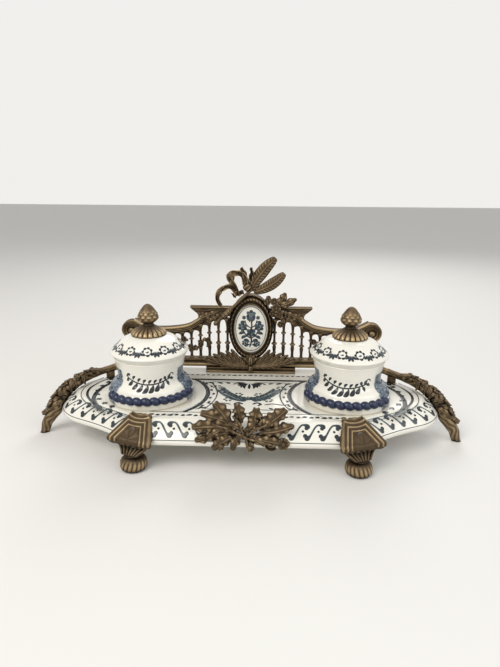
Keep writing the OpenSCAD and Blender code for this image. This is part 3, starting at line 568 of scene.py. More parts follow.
@dataclass
class Studio:
    """Pale floor, soft lights and a camera where the photograph was taken."""

    distance: float = 0.38875
    height: float = 0.20314
    ahead: float = 0.010
    aside: float = 0.00089
    pitch: float = math.radians(16.122)
    yaw: float = math.radians(-1.732)
    roll: float = math.radians(0.439)
    focal_px: float = 500.0
    frame_px: float = 667.0
    floor: Colour = shade(0.90, 0.895, 0.885)

    def camera(self) -> None:
        """Sets the camera: it looks along +Y, pitched down, turned about Z and rolled."""
        data = bpy.data.cameras.new("camera")
        data.sensor_fit = "VERTICAL"
        data.sensor_height = 36.0
        data.lens = data.sensor_height * self.focal_px / self.frame_px
        data.clip_start = 0.01
        camera = bpy.data.objects.new("camera", data)
        bpy.context.scene.collection.objects.link(camera)
        turn = Matrix.Rotation(-self.yaw, 3, "Z")
        right = Vector((1, 0, 0))
        up = Vector((0, math.sin(self.pitch), math.cos(self.pitch)))
        forward = Vector((0, math.cos(self.pitch), -math.sin(self.pitch)))
        across = right * math.cos(self.roll) + up * math.sin(self.roll)
        above = up * math.cos(self.roll) - right * math.sin(self.roll)
        axes = Matrix((turn @ across, turn @ above, turn @ -forward)).transposed()
        place = turn @ Vector((self.aside, -self.distance, self.height)) - Vector((0, self.ahead, 0))
        camera.matrix_world = Matrix.Translation(place) @ axes.to_4x4()
        bpy.context.scene.camera = camera

    def lamp(self, name: str, place: Tuple[float, float, float], size: float, power: float,
             tint: Colour) -> None:
        """Adds a square soft light that faces the middle of the stand."""
        data = bpy.data.lights.new(name, "AREA")
        data.size = size
        data.energy = power
        data.color = tint[:3]
        light = bpy.data.objects.new(name, data)
        light.location = place
        light.rotation_euler = (Vector((0, 0, 0.05)) - Vector(place)).to_track_quat("-Z", "Y").to_euler()
        bpy.context.scene.collection.objects.link(light)

    def stage(self) -> None:
        """Makes the floor, the lamps and the white surroundings."""
        mesh = bpy.data.meshes.new("floor")
        reach = 6.0
        mesh.from_pydata([(-reach, -reach, 0), (reach, -reach, 0), (reach, reach, 0), (-reach, reach, 0)],
                         [], [(0, 1, 2, 3)])
        floor = bpy.data.objects.new("floor", mesh)
        bench = Bench("floor")
        mesh.materials.append(bench.finish(Base_Color=self.floor, Roughness=0.6))
        bpy.context.scene.collection.objects.link(floor)
        world = bpy.data.worlds.new("studio")
        bpy.context.scene.world = world
        world.use_nodes = True
        tree = world.node_tree
        soft = tree.nodes["Background"]
        soft.inputs[0].default_value = shade(0.93, 0.925, 0.915)
        soft.inputs[1].default_value = 0.55
        pale = tree.nodes.new("ShaderNodeBackground")
        pale.inputs[0].default_value = shade(0.945, 0.94, 0.93)
        seen = tree.nodes.new("ShaderNodeLightPath")
        blend = tree.nodes.new("ShaderNodeMixShader")
        plain = seen.outputs["Is Camera Ray"]
        for kind in ("Is Glossy Ray", "Is Transmission Ray"):
            either = tree.nodes.new("ShaderNodeMath")
            either.operation = "MAXIMUM"
            tree.links.new(plain, either.inputs[0])
            tree.links.new(seen.outputs[kind], either.inputs[1])
            plain = either.outputs[0]
        tree.links.new(plain, blend.inputs[0])
        tree.links.new(soft.outputs[0], blend.inputs[1])
        tree.links.new(pale.outputs[0], blend.inputs[2])
        tree.links.new(blend.outputs[0], tree.nodes["World Output"].inputs["Surface"])
        self.lamp("key", (-0.5, -0.7, 0.95), 0.7, 9.0, (1.0, 0.97, 0.92, 1))
        self.lamp("fill", (0.8, -0.5, 0.6), 0.8, 3.5, (0.94, 0.97, 1.0, 1))
        self.lamp("rim", (0.2, 0.9, 0.8), 0.6, 4.0, (1.0, 0.98, 0.95, 1))
        bpy.context.scene.view_settings.view_transform = "Standard"


# Brushwork


@dataclass
class Brush:
    """Lays closed thin strokes of ink on a surface given by a mapping from the plane."""

    onto: Callable[[Array], Tuple[Array, Array]]
    shell: Shell = field(default_factory=Shell)
    proud: float = 0.00010
    sunk: float = 0.00025

    def stroke(self, path: Array, half: Union[Array, float], load: Union[Array, float] = 0.8) -> None:
        """Lays one stroke.

        Args:
            path: centre line (n, 2) in the plane, in metres.
            half: half width per point.
            load: darkness per point.
        """
        t = tangents(path)
        across = np.stack([-t[:, 1], t[:, 0]], axis=-1)
        w = np.broadcast_to(half, len(path))[:, None]
        share = np.array([-1.0, -0.45, 0.45, 1.0])
        flat = path[:, None] + share[None, :, None] * (w * across)[:, None]
        point, normal = self.onto(flat.reshape(-1, 2))
        point, normal = point.reshape(flat.shape[:2] + (3,)), normal.reshape(flat.shape[:2] + (3,))
        crown = np.array([0.35, 1.0, 1.0, 0.35])[None, :, None]
        tone = np.broadcast_to(load, len(path))[:, None] * np.array([0.7, 1.0, 1.0, 0.7])
        top = point + normal * self.proud * crown
        self.shell.sheet(top[:, ::-1], (point - normal * self.sunk)[:, ::-1], tone[:, ::-1])

    def dab(self, start: Tuple[float, float], stop: Tuple[float, float], half: float, bow: float = 0.0,
            load: float = 0.85) -> None:
        """Lays a leaf-shaped dab from start to stop, bowed sideways by a share of its length."""
        a, b = np.asarray(start, float), np.asarray(stop, float)
        s = np.linspace(0, 1, 9)[:, None]
        normal = np.array([-(b - a)[1], (b - a)[0]])
        path = a + (b - a) * s + normal * bow * 4 * s * (1 - s)
        width = half * np.sin(np.pi * np.clip(s[:, 0], 0.04, 0.97)) ** 0.7 * (0.55 + 0.6 * s[:, 0])
        self.stroke(path, width, load * (0.7 + 0.4 * s[:, 0]))

    def dot(self, centre: Tuple[float, float], radius: float, load: float = 0.9) -> None:
        """Lays a round dot."""
        s = np.linspace(-0.98, 0.98, 8)
        path = np.stack([centre[0] + radius * s, np.full(8, centre[1])], axis=-1)
        self.stroke(path, radius * np.sqrt(1 - s**2), load)

    def line(self, knots: Any, half: float, steps: int = 8, load: float = 0.8) -> None:
        """Lays an even line with tapered ends through knots."""
        path = curve(knots, steps)
        ends = np.minimum(1.0, np.minimum(np.arange(len(path)), np.arange(len(path))[::-1]) / 2 + 0.35)
        self.stroke(path, half * ends, load)

    def ring(self, path: Array, half: float, load: float = 0.8) -> None:
        """Lays a closed even line along a path whose last point joins its first."""
        closed = np.vstack([path, path[:1]])
        self.stroke(closed, half, load)

    def build(self, name: str, body: str, material: bpy.types.Material) -> bpy.types.Object:
        """Makes the painting one piece."""
        return self.shell.build(name, body, "painted_glaze", material, "load")


# The tray


@dataclass
class Tray:
    """Glazed tray: a flat top with rounded ends, hollow flanks and a sloped painted band."""

    length: float = 0.292
    depth: float = 0.112
    top: float = 0.0365
    corner: float = 0.012
    flank: float = 0.182
    end: float = 0.0269
    corner_turn: float = 40.0
    flank_turn: float = 26.0
    band: float = 0.014
    low: float = 0.020
    brink: float = 0.0255
    wall: float = 0.005
    plate: float = 0.006

    def outline(self, count: int = 640) -> Tuple[Array, Array]:
        """Outline of the flat top with its outward normals, evenly spaced from the middle of the front.

        A quarter is a convex corner arc, a concave flank arc, a straight run and the rounded end.

        Args:
            count: points all round.

        Returns:
            Points (count, 2) and unit normals (count, 2).
        """
        ct, ft = math.radians(self.corner_turn), math.radians(self.flank_turn)
        half_x, half_y = self.length / 2, self.depth / 2
        run = (half_y - self.corner + (self.corner + self.flank) * math.cos(ct)
               - (self.flank + self.end) * math.cos(ft)) / math.sin(ft)
        near = (half_x - self.end - (self.corner + self.flank) * math.sin(ct)
                + (self.flank + self.end) * math.sin(ft) - run * math.cos(ft))
        self.corner_at = (near, half_y - self.corner)
        c1 = np.array([near, -self.corner_at[1]])
        c2 = c1 + (self.corner + self.flank) * np.array([math.sin(ct), -math.cos(ct)])
        c3 = (c2 - self.flank * np.array([math.sin(ft), -math.cos(ft)])
              + run * np.array([math.cos(ft), math.sin(ft)])
              + self.end * np.array([-math.sin(ft), math.cos(ft)]))
        front = np.linspace([0, -half_y], [near, -half_y], 60)
        quarter = np.vstack([
            front,
            arc(c1, self.corner, -90, self.corner_turn - 90, 24),
            arc(c2, -self.flank, self.corner_turn - 90, self.flank_turn - 90, 40),
            arc(c3, self.end, self.flank_turn - 90, 0, 60),
        ])
        half = np.vstack([quarter, (quarter * [1, -1])[::-1]])
        whole = np.vstack([half, (half * [-1, 1])[::-1]])
        step = np.linalg.norm(np.diff(np.vstack([whole, whole[:1]]), axis=0), axis=1)
        whole = whole[step > 1e-9]
        closed = np.vstack([whole, whole[:1]])
        run_at = distances(closed)
        even = np.linspace(0, run_at[-1], count, endpoint=False)
        points = np.stack([np.interp(even, run_at, closed[:, k]) for k in (0, 1)], axis=-1)
        t = unit(np.roll(points, -1, axis=0) - np.roll(points, 1, axis=0))
        self.round = run_at[-1]
        return points, np.stack([t[:, 1], -t[:, 0]], axis=-1)

    def across(self) -> Array:
        """Profile (offset, height) from the underside of the plate round the lip to the flat top."""
        inner = np.array([[-0.002, self.top - self.plate],
                          [self.band - self.wall - 0.001, self.brink - 0.002],
                          [self.band - self.wall - 0.001, self.low + 0.001]])
        lip = curve(np.array([[self.band - self.wall, self.low], [self.band - 0.0026, self.low],
                              [self.band - 0.0007, self.low + 0.0012], [self.band, self.low + 0.0030],
                              [self.band - 0.0001, self.brink - 0.0014],
                              [self.band - 0.0009, self.brink + 0.0002]]), 4)
        slope = curve(np.array([[self.band - 0.0016, self.brink + 0.0011],
                                [self.band * 0.62, self.brink + 0.0052],
                                [self.band * 0.3, self.top - 0.0029], [0.0022, self.top - 0.0012],
                                [0.0008, self.top - 0.0002], [-0.0010, self.top]]), 6)
        return np.vstack([inner, lip, slope])

    def surface(self, material: bpy.types.Material) -> None:
        """Builds the tray: rings of the outline at each offset and height of the profile."""
        points, normals = self.outline()
        profile = self.across()
        x = points[None] + normals[None] * profile[:, None, :1]
        z = np.broadcast_to(profile[:, None, 1:], x.shape[:2] + (1,))
        shell = Shell()
        shell.grid(np.concatenate([x, z], axis=-1))
        shell.cast("tray_glaze", material, "tray", slot="painted_glaze")

    def on_top(self, flat: Array) -> Tuple[Array, Array]:
        """Maps the plane onto the flat top."""
        z = np.full((len(flat), 1), self.top)
        return np.hstack([flat, z]), np.broadcast_to([0.0, 0.0, 1.0], (len(flat), 3))

    def on_band(self, flat: Array) -> Tuple[Array, Array]:
        """Maps (distance round, distance down the slope) onto the sloped band.

        The distance round is measured from the middle of the front, along the middle of the band.
        """
        points, normals = self.outline()
        middle = points + normals * self.band / 2
        loop = np.vstack([middle, middle[:1]])
        at = distances(loop)
        s = np.mod(flat[:, 0], at[-1])
        both = np.hstack([points, normals])
        both = np.vstack([both, both[:1]])
        p = np.stack([np.interp(s, at, both[:, k]) for k in range(4)], axis=-1)
        profile = self.across()[::-1]
        down = distances(profile)
        t = np.clip(flat[:, 1], 0, down[-1])
        d, z = (np.interp(t, down, profile[:, k]) for k in (0, 1))
        ahead = [np.interp(t + AHEAD, down, profile[:, k]) for k in (0, 1)]
        slope = unit(np.stack([ahead[0] - d, ahead[1] - z], axis=-1))
        out = unit(p[:, 2:])
        normal = np.hstack([out * -slope[:, 1:], slope[:, :1]])
        self.band_round = at[-1]
        return np.hstack([p[:, :2] + out * d[:, None], z[:, None]]), normal


@dataclass
class TrayPainting:
    """Blue brushwork on the tray: ruled lines, pot reserves, a centre panel and a running scroll."""

    tray: Tray
    pot: Tuple[float, float] = (0.0815, -0.010)
    reserve: float = 0.0472
    back: float = 0.0252
    front: float = -0.0445
    pitch: float = 0.0115
    turning: float = 0.090

    def top(self, ink: bpy.types.Material) -> None:
        """Paints the flat top."""
        brush = Brush(self.tray.on_top)
        self.rules(brush)
        for side in SIDES.values():
            self.reserves(brush, side)
            self.ends(brush, side)
            self.panel(brush, side)
        self.middle(brush)
        brush.build("tray_top_painting", "base", ink)

    def rules(self, brush: Brush) -> None:
        """Paints the lines and rows of dashes along the back and the front."""
        reach = self.pot[0] + math.sqrt(self.reserve**2 - (self.back - self.pot[1]) ** 2)
        brush.line([(-reach - 0.019, self.back), (0, self.back), (reach + 0.019, self.back)], 0.0018, 20,
                   0.95)
        brush.line([(-0.076, self.front), (0, self.front), (0.076, self.front)], 0.00055, 20, 0.7)
        for k in range(-17, 18):
            x = k * 0.0049
            long = 0.0017 + 0.0008 * (k % 3 == 0)
            brush.dab((x - long, self.back + 0.0112), (x + long, self.back + 0.0120), 0.0014,
                      0.06 * (-1) ** k, 0.9)
            brush.dab((x - long, self.front - 0.0060), (x + long, self.front - 0.0048), 0.0019,
                      -0.08 * (-1) ** k, 0.9)

    def reserves(self, brush: Brush, side: float) -> None:
        """Paints the thick ring round a pot, cut by the lines at the back and the front."""
        centre = (side * self.pot[0], self.pot[1])
        high = math.degrees(math.asin((self.back - centre[1]) / self.reserve))
        low = math.degrees(math.asin((self.front - centre[1]) / self.reserve))
        for start, stop in ((low, high), (180 - low, 180 - high)):
            path = arc(centre, self.reserve, start, stop, 60)
            swell = 0.0014 + 0.0005 * np.sin(np.linspace(0, math.pi, 60))
            brush.stroke(path, swell, 0.95)
        brush.stroke(arc(centre, self.reserve - 0.0022, 200, 340, 60), 0.00022, 0.35)

    def ends(self, brush: Brush, side: float) -> None:
        """Paints the end fields: an angled frame with leaf strokes."""
        frame_line = [(0.1255, self.back), (0.1335, 0.014), (0.1375, -0.002), (0.1335, -0.018),
                      (0.122, -0.034)]
        brush.line([(side * x, y) for x, y in frame_line], 0.0011, 8, 0.95)
        edge = [(0.1335, 0.026), (0.1405, 0.012), (0.1425, -0.004), (0.138, -0.020), (0.127, -0.034),
                (0.112, -0.0445)]
        brush.line([(side * x, y) for x, y in edge], 0.00035, 8, 0.6)
        tail = ((0.122, -0.034), (0.104, -0.0445), (0.082, self.front - 0.0125))
        brush.line([(side * x, y) for x, y in tail], 0.0003, 8, 0.5)
        for k, (x, y, turn) in enumerate([(0.1285, 0.014, 160), (0.131, 0.005, 176), (0.1315, -0.004, 190),
                                          (0.129, -0.013, 206), (0.124, -0.021, 222), (0.126, 0.019, 120),
                                          (0.117, -0.029, 215), (0.110, -0.036, 205)]):
            for spread, long in ((-28, 0.0042), (0, 0.0056), (28, 0.0042)):
                a = math.radians(turn + spread)
                stop = (side * (x + long * math.cos(a)), y + long * math.sin(a))
                brush.dab((side * x, y), stop, 0.0012, 0.1 * (1 if k % 2 else -1))

    def panel(self, brush: Brush, side: float) -> None:
        """Paints one half of the panel between the pots."""
        centre = (side * self.pot[0], self.pot[1])
        inner = self.reserve + 0.0078
        facing = 0 if side < 0 else 180
        brush.stroke(arc(centre, inner, facing - 30, facing + 30, 40), 0.0006, 0.7)
        for k in range(-3, 4):
            a = math.radians(facing + k * 9.5)
            r = self.reserve + 0.0040
            spot = (centre[0] + r * math.cos(a), centre[1] + r * math.sin(a))
            swing = a + math.pi / 2
            stop = (spot[0] + 0.0042 * math.cos(swing), spot[1] + 0.0042 * math.sin(swing))
            brush.dab(spot, stop, 0.0014, 0.22 * (1 if k % 2 else -1))
        for y, up in ((self.back - 0.0055, -1), (self.front + 0.0065, 1)):
            brush.line([(side * 0.0335, y), (side * 0.020, y), (side * 0.004, y + up * 0.0003)], 0.0006, 8,
                       0.7)
            for x, long in ((0.0385, 0.007), (0.029, 0.0052), (0.0215, 0.0042)):
                brush.dab((side * x, y + up * 0.002), (side * (x - long), y + up * 0.0040), 0.0016,
                          0.15 * up * side)
            brush.dab((side * 0.0415, y - up * 0.001), (side * 0.0365, y + up * 0.0066), 0.0014, 0.2 * side)
        stem = curve([(side * 0.0010, -0.0185), (side * 0.009, -0.0160), (side * 0.017, -0.0085),
                      (side * 0.0245, 0.003)], 9)
        brush.stroke(stem, 0.0005, 0.7)
        for k in range(1, len(stem) - 1):
            for turn, long in ((66, 0.0052), (-60, 0.0058)):
                direction = stem[k + 1] - stem[k - 1]
                a = math.atan2(direction[1], direction[0]) + math.radians(turn)
                stop = (stem[k][0] + long * math.cos(a), stem[k][1] + long * math.sin(a))
                brush.dab(tuple(stem[k]), stop, 0.00105, 0.16, 0.25 + 0.6 * (k % 3 == 0))
        for x, y in ((0.0085, -0.0085), (0.0165, -0.0185), (0.0225, -0.0020), (0.0275, 0.0075)):
            self.flower(brush, (side * x, y), 0.0042)
        brush.line([(side * 0.004, -0.0275), (side * 0.0075, -0.0245), (side * 0.0105, -0.0275),
                    (side * 0.0080, -0.0300)], 0.0011, 6, 0.9)
        brush.line([(side * 0.0135, -0.0285), (side * 0.020, -0.0262), (side * 0.028, -0.0280),
                    (side * 0.0335, -0.0262)], 0.0008, 6, 0.8)

    def flower(self, brush: Brush, centre: Tuple[float, float], size: float, petals: int = 6) -> None:
        """Paints a flower head of short petals round an open eye."""
        for k in range(petals):
            a = TAU * k / petals
            start = (centre[0] + size * 0.35 * math.cos(a), centre[1] + size * 0.35 * math.sin(a))
            stop = (centre[0] + size * math.cos(a), centre[1] + size * math.sin(a))
            brush.dab(start, stop, size * 0.34, 0.1, 0.55)

    def middle(self, brush: Brush) -> None:
        """Paints the palmette at the back of the panel and the spray on its middle line."""
        crown = self.back - 0.0085
        for k in range(-4, 5):
            a = math.radians(-90 + k * 20)
            root = (0.0008 * k, crown)
            stop = (0.0110 * math.cos(a), crown + 0.0115 * math.sin(a) - 0.0008)
            brush.dab(root, stop, 0.0015, 0.16 * (1 if k > 0 else -1) * (k != 0), 0.8)
        for side in SIDES.values():
            brush.line([(side * 0.003, crown), (side * 0.010, crown + 0.0012),
                        (side * 0.0145, crown - 0.0022)], 0.0009, 6, 0.8)
        for k in range(-4, 5):
            a = math.radians(90 + k * 22)
            stop = (0.0075 * math.cos(a), -0.0195 + 0.0078 * math.sin(a))
            brush.dab((0, -0.0195), stop, 0.0010, 0.1, 0.3)

    def band(self, ink: bpy.types.Material) -> None:
        """Paints the running scroll on the sloped band and the thin line under it."""
        brush = Brush(self.tray.on_band)
        self.tray.on_band(np.zeros((1, 2)))
        whole = self.tray.band_round
        count = int(round(whole / self.pitch))
        pitch = whole / count
        for k in range(count):
            at = (k + 0.5) * pitch
            half = 1.0 if at < whole / 2 else -1.0
            front = min(at, whole - at) < self.turning
            self.scroll(brush, at, pitch, -half if front else half)
        path = np.stack([np.linspace(0, whole, 500), np.full(500, 0.0188)], axis=-1)
        brush.stroke(path, 0.00030, 0.6)
        brush.build("tray_band_painting", "base", ink)

    def scroll(self, brush: Brush, at: float, pitch: float, way: float) -> None:
        """Paints one unit of the scroll: an S from a curled blob above to one below, with two dots."""
        high, low = 0.0046, 0.0152

        def spot(x: float, y: float) -> Tuple[float, float]:
            """Place in the unit, mirrored where the scroll runs the other way."""
            return at + way * x * pitch, high + (low - high) * y

        knots = ((-0.44, 0.30), (-0.46, 0.12), (-0.30, 0.0), (-0.10, 0.02), (0.08, 0.24), (0.24, 0.56),
                 (0.40, 0.84), (0.58, 0.98), (0.76, 0.96))
        path = curve([spot(*knot) for knot in knots], 7)
        share = np.linspace(0, 1, len(path))
        blobs = [0.0014 * np.exp(-(((share - place) / 0.10) ** 2)) for place in (0.13, 0.88)]
        swell = 0.0007 + blobs[0] + blobs[1]
        brush.stroke(path, swell * np.minimum(1, np.minimum(share, 1 - share) * 18 + 0.3),
                     0.95 - 0.5 * np.sin(np.pi * share))
        brush.dot(spot(-0.40, 0.26), 0.0015, 0.7)
        brush.dot(spot(0.70, 0.84), 0.0017, 0.95)
        brush.dot(spot(-0.16, 0.50), 0.0010, 0.9)


# The pots and their lids


@dataclass
class Pot:
    """One ink pot: a waisted glazed body with a rope moulding, seen with its sprig and sponging."""

    side: str
    sign: float
    place: Tuple[float, float] = (0.0815, -0.010)
    base: float = 0.0365
    mouth: float = 0.072
    foot: float = 0.035
    waist: float = 0.0266
    rim: float = 0.0292
    well: float = 0.0215
    recess: float = 0.0256
    rope: float = 0.0034
    rope_up: float = 0.0074
    beads: int = 32
    roped: float = math.radians(66)
    facing: float = math.radians(11.5)

    @property
    def centre(self) -> Tuple[float, float]:
        """The pot's axis."""
        return self.sign * self.place[0], self.place[1]

    def outside(self) -> Array:
        """Outer profile from the foot to the mouth."""
        h = self.mouth - self.base
        knots = [[self.foot - 0.0004, 0.0], [self.foot + 0.0003, 0.0012],
                 [self.foot - 0.0002, self.rope_up],
                 [self.foot - 0.0020, self.rope_up + 0.0034], [self.foot - 0.0036, self.rope_up + 0.0064],
                 [self.waist + 0.0010, h * 0.47], [self.waist, h * 0.60], [self.waist + 0.0008, h * 0.76],
                 [self.rim - 0.0006, h * 0.93], [self.rim - 0.0001, h * 0.98], [self.rim - 0.0006, h]]
        profile = curve(knots, 6)
        profile[:, 1] += self.base
        return profile

    def body(self, material: bpy.types.Material) -> None:
        """Builds the glazed body with its well and recess."""
        inside = np.array([[self.recess, self.mouth], [self.recess, self.mouth - 0.005],
                           [self.well, self.mouth - 0.005], [self.well, self.base + 0.008],
                           [self.well - 0.003, self.base + 0.005], [0.00265, self.base + 0.005],
                           [0.00265, self.base]])
        profile = np.vstack([self.outside(), inside])
        shell = Shell()
        shell.loop(lathe(profile, self.centre, 160))
        shell.cast(f"pot_glaze_{self.side}", material, f"pot_{self.side}", "base", "painted_glaze")

    def moulding(self, material: bpy.types.Material) -> None:
        """Builds the rope along the white front: a thin ring whose section swells into slanted beads."""
        a = np.linspace(-math.pi, math.pi, 800, endpoint=False)[:, None]
        b = np.linspace(0, TAU, 24, endpoint=False)[None]
        shown = np.clip((self.roped - np.abs(a)) / 0.03, 0, 1)
        swell = np.abs(np.sin(self.beads * a / 2 + 0.5 * np.sin(b))) ** 0.5
        section = self.rope * (0.30 + shown * (0.22 + 0.48 * swell))
        r = self.foot - 0.0008 + section * np.cos(b)
        z = self.base + self.rope_up + section * np.sin(b) * 1.05
        at = a - math.pi / 2 - self.sign * self.facing
        grid = np.stack([self.centre[0] + r * np.cos(at), self.centre[1] + r * np.sin(at), z], axis=-1)
        shell = Shell()
        shell.loop(grid[:, ::-1], (shown + 0 * swell)[:, ::-1])
        shell.build(f"pot_rope_{self.side}", "base", "painted_glaze", material)

    def onto(self, flat: Array) -> Tuple[Array, Array]:
        """Maps (distance to the right, height over the tray) onto the outside, facing the viewer."""
        profile = self.outside()
        z = flat[:, 1] + self.base
        r = np.interp(z, profile[:, 1], profile[:, 0])
        lean = (np.interp(z + AHEAD, profile[:, 1], profile[:, 0]) - r) / AHEAD
        a = -math.pi / 2 - self.sign * self.facing + flat[:, 0] / self.waist
        out = np.stack([np.cos(a), np.sin(a)], axis=-1)
        point = np.hstack([np.array(self.centre) + out * r[:, None], z[:, None]])
        return point, unit(np.hstack([out, -lean[:, None]]))

    def sprig(self, ink: bpy.types.Material) -> None:
        """Paints the leafy sprig on the white front."""
        brush = Brush(self.onto)

        def spot(x: float, y: float) -> Tuple[float, float]:
            """Place on the front, from millimetres."""
            return x * MM, y * MM

        stem = curve([spot(-19.5, 25.5), spot(-16, 22.4), spot(-10, 20.0), spot(-3, 18.8), spot(4, 19.0),
                      spot(11, 20.4), spot(17, 22.2)], 8)
        brush.stroke(stem, 0.00055, 0.9)
        for k, x in enumerate((-15.4, -11.2, -7.0, -2.8, 1.4, 5.6, 9.8)):
            y = float(np.interp(x * MM, stem[:, 0], stem[:, 1])) / MM
            brush.dab(spot(x + 0.8, y), spot(x - 2.6, y - 5.2 + 0.3 * abs(k - 3)), 0.0017, 0.20, 0.95)
            if k < 6:
                brush.dab(spot(x + 1.8, y + 0.2), spot(x + 4.0, y + 3.6), 0.0012, 0.18)
        for x, y, to_x, to_y in ((-19.0, 25.0, -15.4, 27.0), (-18.0, 24.0, -19.6, 20.6),
                                 (13, 20.9, 11.8, 24.6), (14.5, 21.4, 16.8, 25.0),
                                 (15.5, 21.8, 19.4, 20.4), (12.6, 20.6, 14.6, 16.4)):
            brush.dab(spot(x, y), spot(to_x, to_y), 0.0014, 0.12)
        ring = np.stack([(17.6 + 1.9 * np.cos(np.linspace(0, 5.4, 16))),
                         24.0 + 2.1 * np.sin(np.linspace(0, 5.4, 16))], axis=-1) * MM
        brush.stroke(ring, 0.00045, 0.8)
        brush.build(f"pot_sprig_{self.side}", "base", ink)


@dataclass
class Lid:
    """One domed lid with its ring of flowers, ribbed bronze cap and acorn knob."""

    side: str
    sign: float
    place: Tuple[float, float] = (0.0815, -0.010)
    seat: float = 0.072
    edge: float = 0.004
    widest: float = 0.0316
    dome: float = 0.0155
    wall: float = 0.004
    cap: float = 0.0135
    cap_rise: float = 0.007
    knob: float = 0.008
    knob_rise: float = 0.0175
    flowers: int = 12

    @property
    def centre(self) -> Tuple[float, float]:
        """The lid's axis."""
        return self.sign * self.place[0], self.place[1]

    @property
    def crown(self) -> float:
        """Height of the dome's top."""
        return self.seat + self.edge + self.dome

    @property
    def body_name(self) -> str:
        """The CAD body that the lid is."""
        return f"{self.side}_lid"

    def outside(self) -> Array:
        """Outer profile from the seam up over the rim to the stud's hole."""
        z = self.seat
        return curve([[0.0289, z], [0.0294, z + 0.0007], [self.widest - 0.0009, z + 0.0026],
                      [self.widest, z + self.edge], [self.widest - 0.0006, z + self.edge + 0.0014],
                      [self.widest * 0.85, z + self.edge + 0.0049],
                      [self.widest * 0.66, self.crown - 0.0052], [self.cap, self.crown - 0.0024],
                      [self.cap * 0.6, self.crown - 0.0008], [0.00215, self.crown]], 6)

    def body(self, material: bpy.types.Material) -> None:
        """Builds the glazed dome with its spigot and hollow."""
        spigot = 0.02525
        inside = np.array(
            [[0.00215, self.crown - self.wall], [self.cap * 0.6, self.crown - self.wall - 0.0008],
             [self.widest * 0.62, self.crown - self.wall - 0.0054], [spigot - 0.003, self.seat + 0.001],
             [spigot - 0.003, self.seat - 0.0022], [spigot, self.seat - 0.0022], [spigot, self.seat]])
        shell = Shell()
        shell.loop(lathe(np.vstack([self.outside(), inside]), self.centre, 160))
        shell.cast(f"lid_glaze_{self.side}", material, f"lid_{self.side}", self.body_name, "painted_glaze")

    def onto(self, flat: Array) -> Tuple[Array, Array]:
        """Maps (distance round at the rim, distance down from the axis) onto the dome."""
        profile = self.outside()[::-1]
        down = distances(profile)
        r, z = (np.interp(flat[:, 1], down, profile[:, k]) for k in (0, 1))
        ahead = [np.interp(flat[:, 1] + AHEAD, down, profile[:, k]) for k in (0, 1)]
        slope = unit(np.stack([ahead[0] - r, ahead[1] - z], axis=-1))
        a = flat[:, 0] / (self.widest * 0.86) - math.pi / 2
        out = np.stack([np.cos(a), np.sin(a)], axis=-1)
        point = np.hstack([np.array(self.centre) + out * r[:, None], z[:, None]])
        return point, np.hstack([out * -slope[:, 1:], slope[:, :1]])

    def painting(self, ink: bpy.types.Material) -> None:
        """Paints flower heads that alternate with fans of leaf strokes."""
        brush = Brush(self.onto)
        pitch = TAU * self.widest * 0.86 / self.flowers
        for k in range(self.flowers):
            x, y = (k + 0.3) * pitch, 0.0262
            for q in range(7):
                a = TAU * q / 7 + 0.3 * k
                spot = (x + 0.0031 * math.cos(a), y + 0.0028 * math.sin(a))
                stop = (x + 0.0031 * math.cos(a + 0.92), y + 0.0028 * math.sin(a + 0.92))
                brush.dab(spot, stop, 0.0013, -0.34, 0.95)
            brush.dab((x - 0.0014, y + 0.0004), (x + 0.0014, y - 0.0002), 0.0009, 0.1, 0.3)
            for q, (dx, dy) in enumerate(((-0.0042, 0.0034), (-0.0016, 0.0054), (0.0014, 0.0054),
                                          (0.0040, 0.0034))):
                root = (x + pitch / 2 + dx * 0.35, y + 0.0002)
                brush.dab(root, (x + pitch / 2 + dx, y + dy), 0.00125, 0.05 * (q - 1.5))
        brush.build(f"lid_painting_{self.side}", self.body_name, ink)

    def calyx(self, material: bpy.types.Material) -> None:
        """Builds the ribbed cap: a lathe whose radius waves twenty times and scallops at the hem."""
        neck = self.crown - 0.0018 + self.cap_rise
        low = self.crown - 0.0018
        profile = curve([[self.cap + 0.0003, low - 0.0014], [self.cap + 0.0006, low + 0.0002],
                         [self.cap * 0.94, low + 0.0022], [self.cap * 0.74, neck - 0.0032],
                         [0.0064, neck - 0.0010], [0.0050, neck - 0.0001], [0.0022, neck]], 8)
        under = np.array([[0.0022, self.crown + 0.0001], [self.cap * 0.6, self.crown - 0.0007],
                          [self.cap - 0.0008, low - 0.0006]])
        rows = np.vstack([profile, under])
        grid = lathe(rows, self.centre, 360)
        a = np.linspace(0, TAU, 360, endpoint=False)
        reach = np.clip((rows[:, 0] - 0.0045) / (self.cap - 0.0045), 0, 1)
        reach[len(profile):] = 0
        wave = np.abs(np.cos(10 * a)) ** 0.7
        centre = np.array([*self.centre, 0.0])
        lift = 1 + 0.045 * reach[:, None] * (wave[None] - 0.6)
        grid[..., :2] = centre[:2] + (grid[..., :2] - centre[:2]) * lift[..., None]
        grid[..., 2] += (0.0011 * reach[:, None] * (wave[None] - 0.35)) * (reach[:, None] > 0)
        shell = Shell()
        shell.loop(grid, 0.15 + 0.75 * reach[:, None] * wave[None])
        shell.cast(f"lid_cap_{self.side}", material, f"calyx_{self.side}", self.body_name, "bronze")

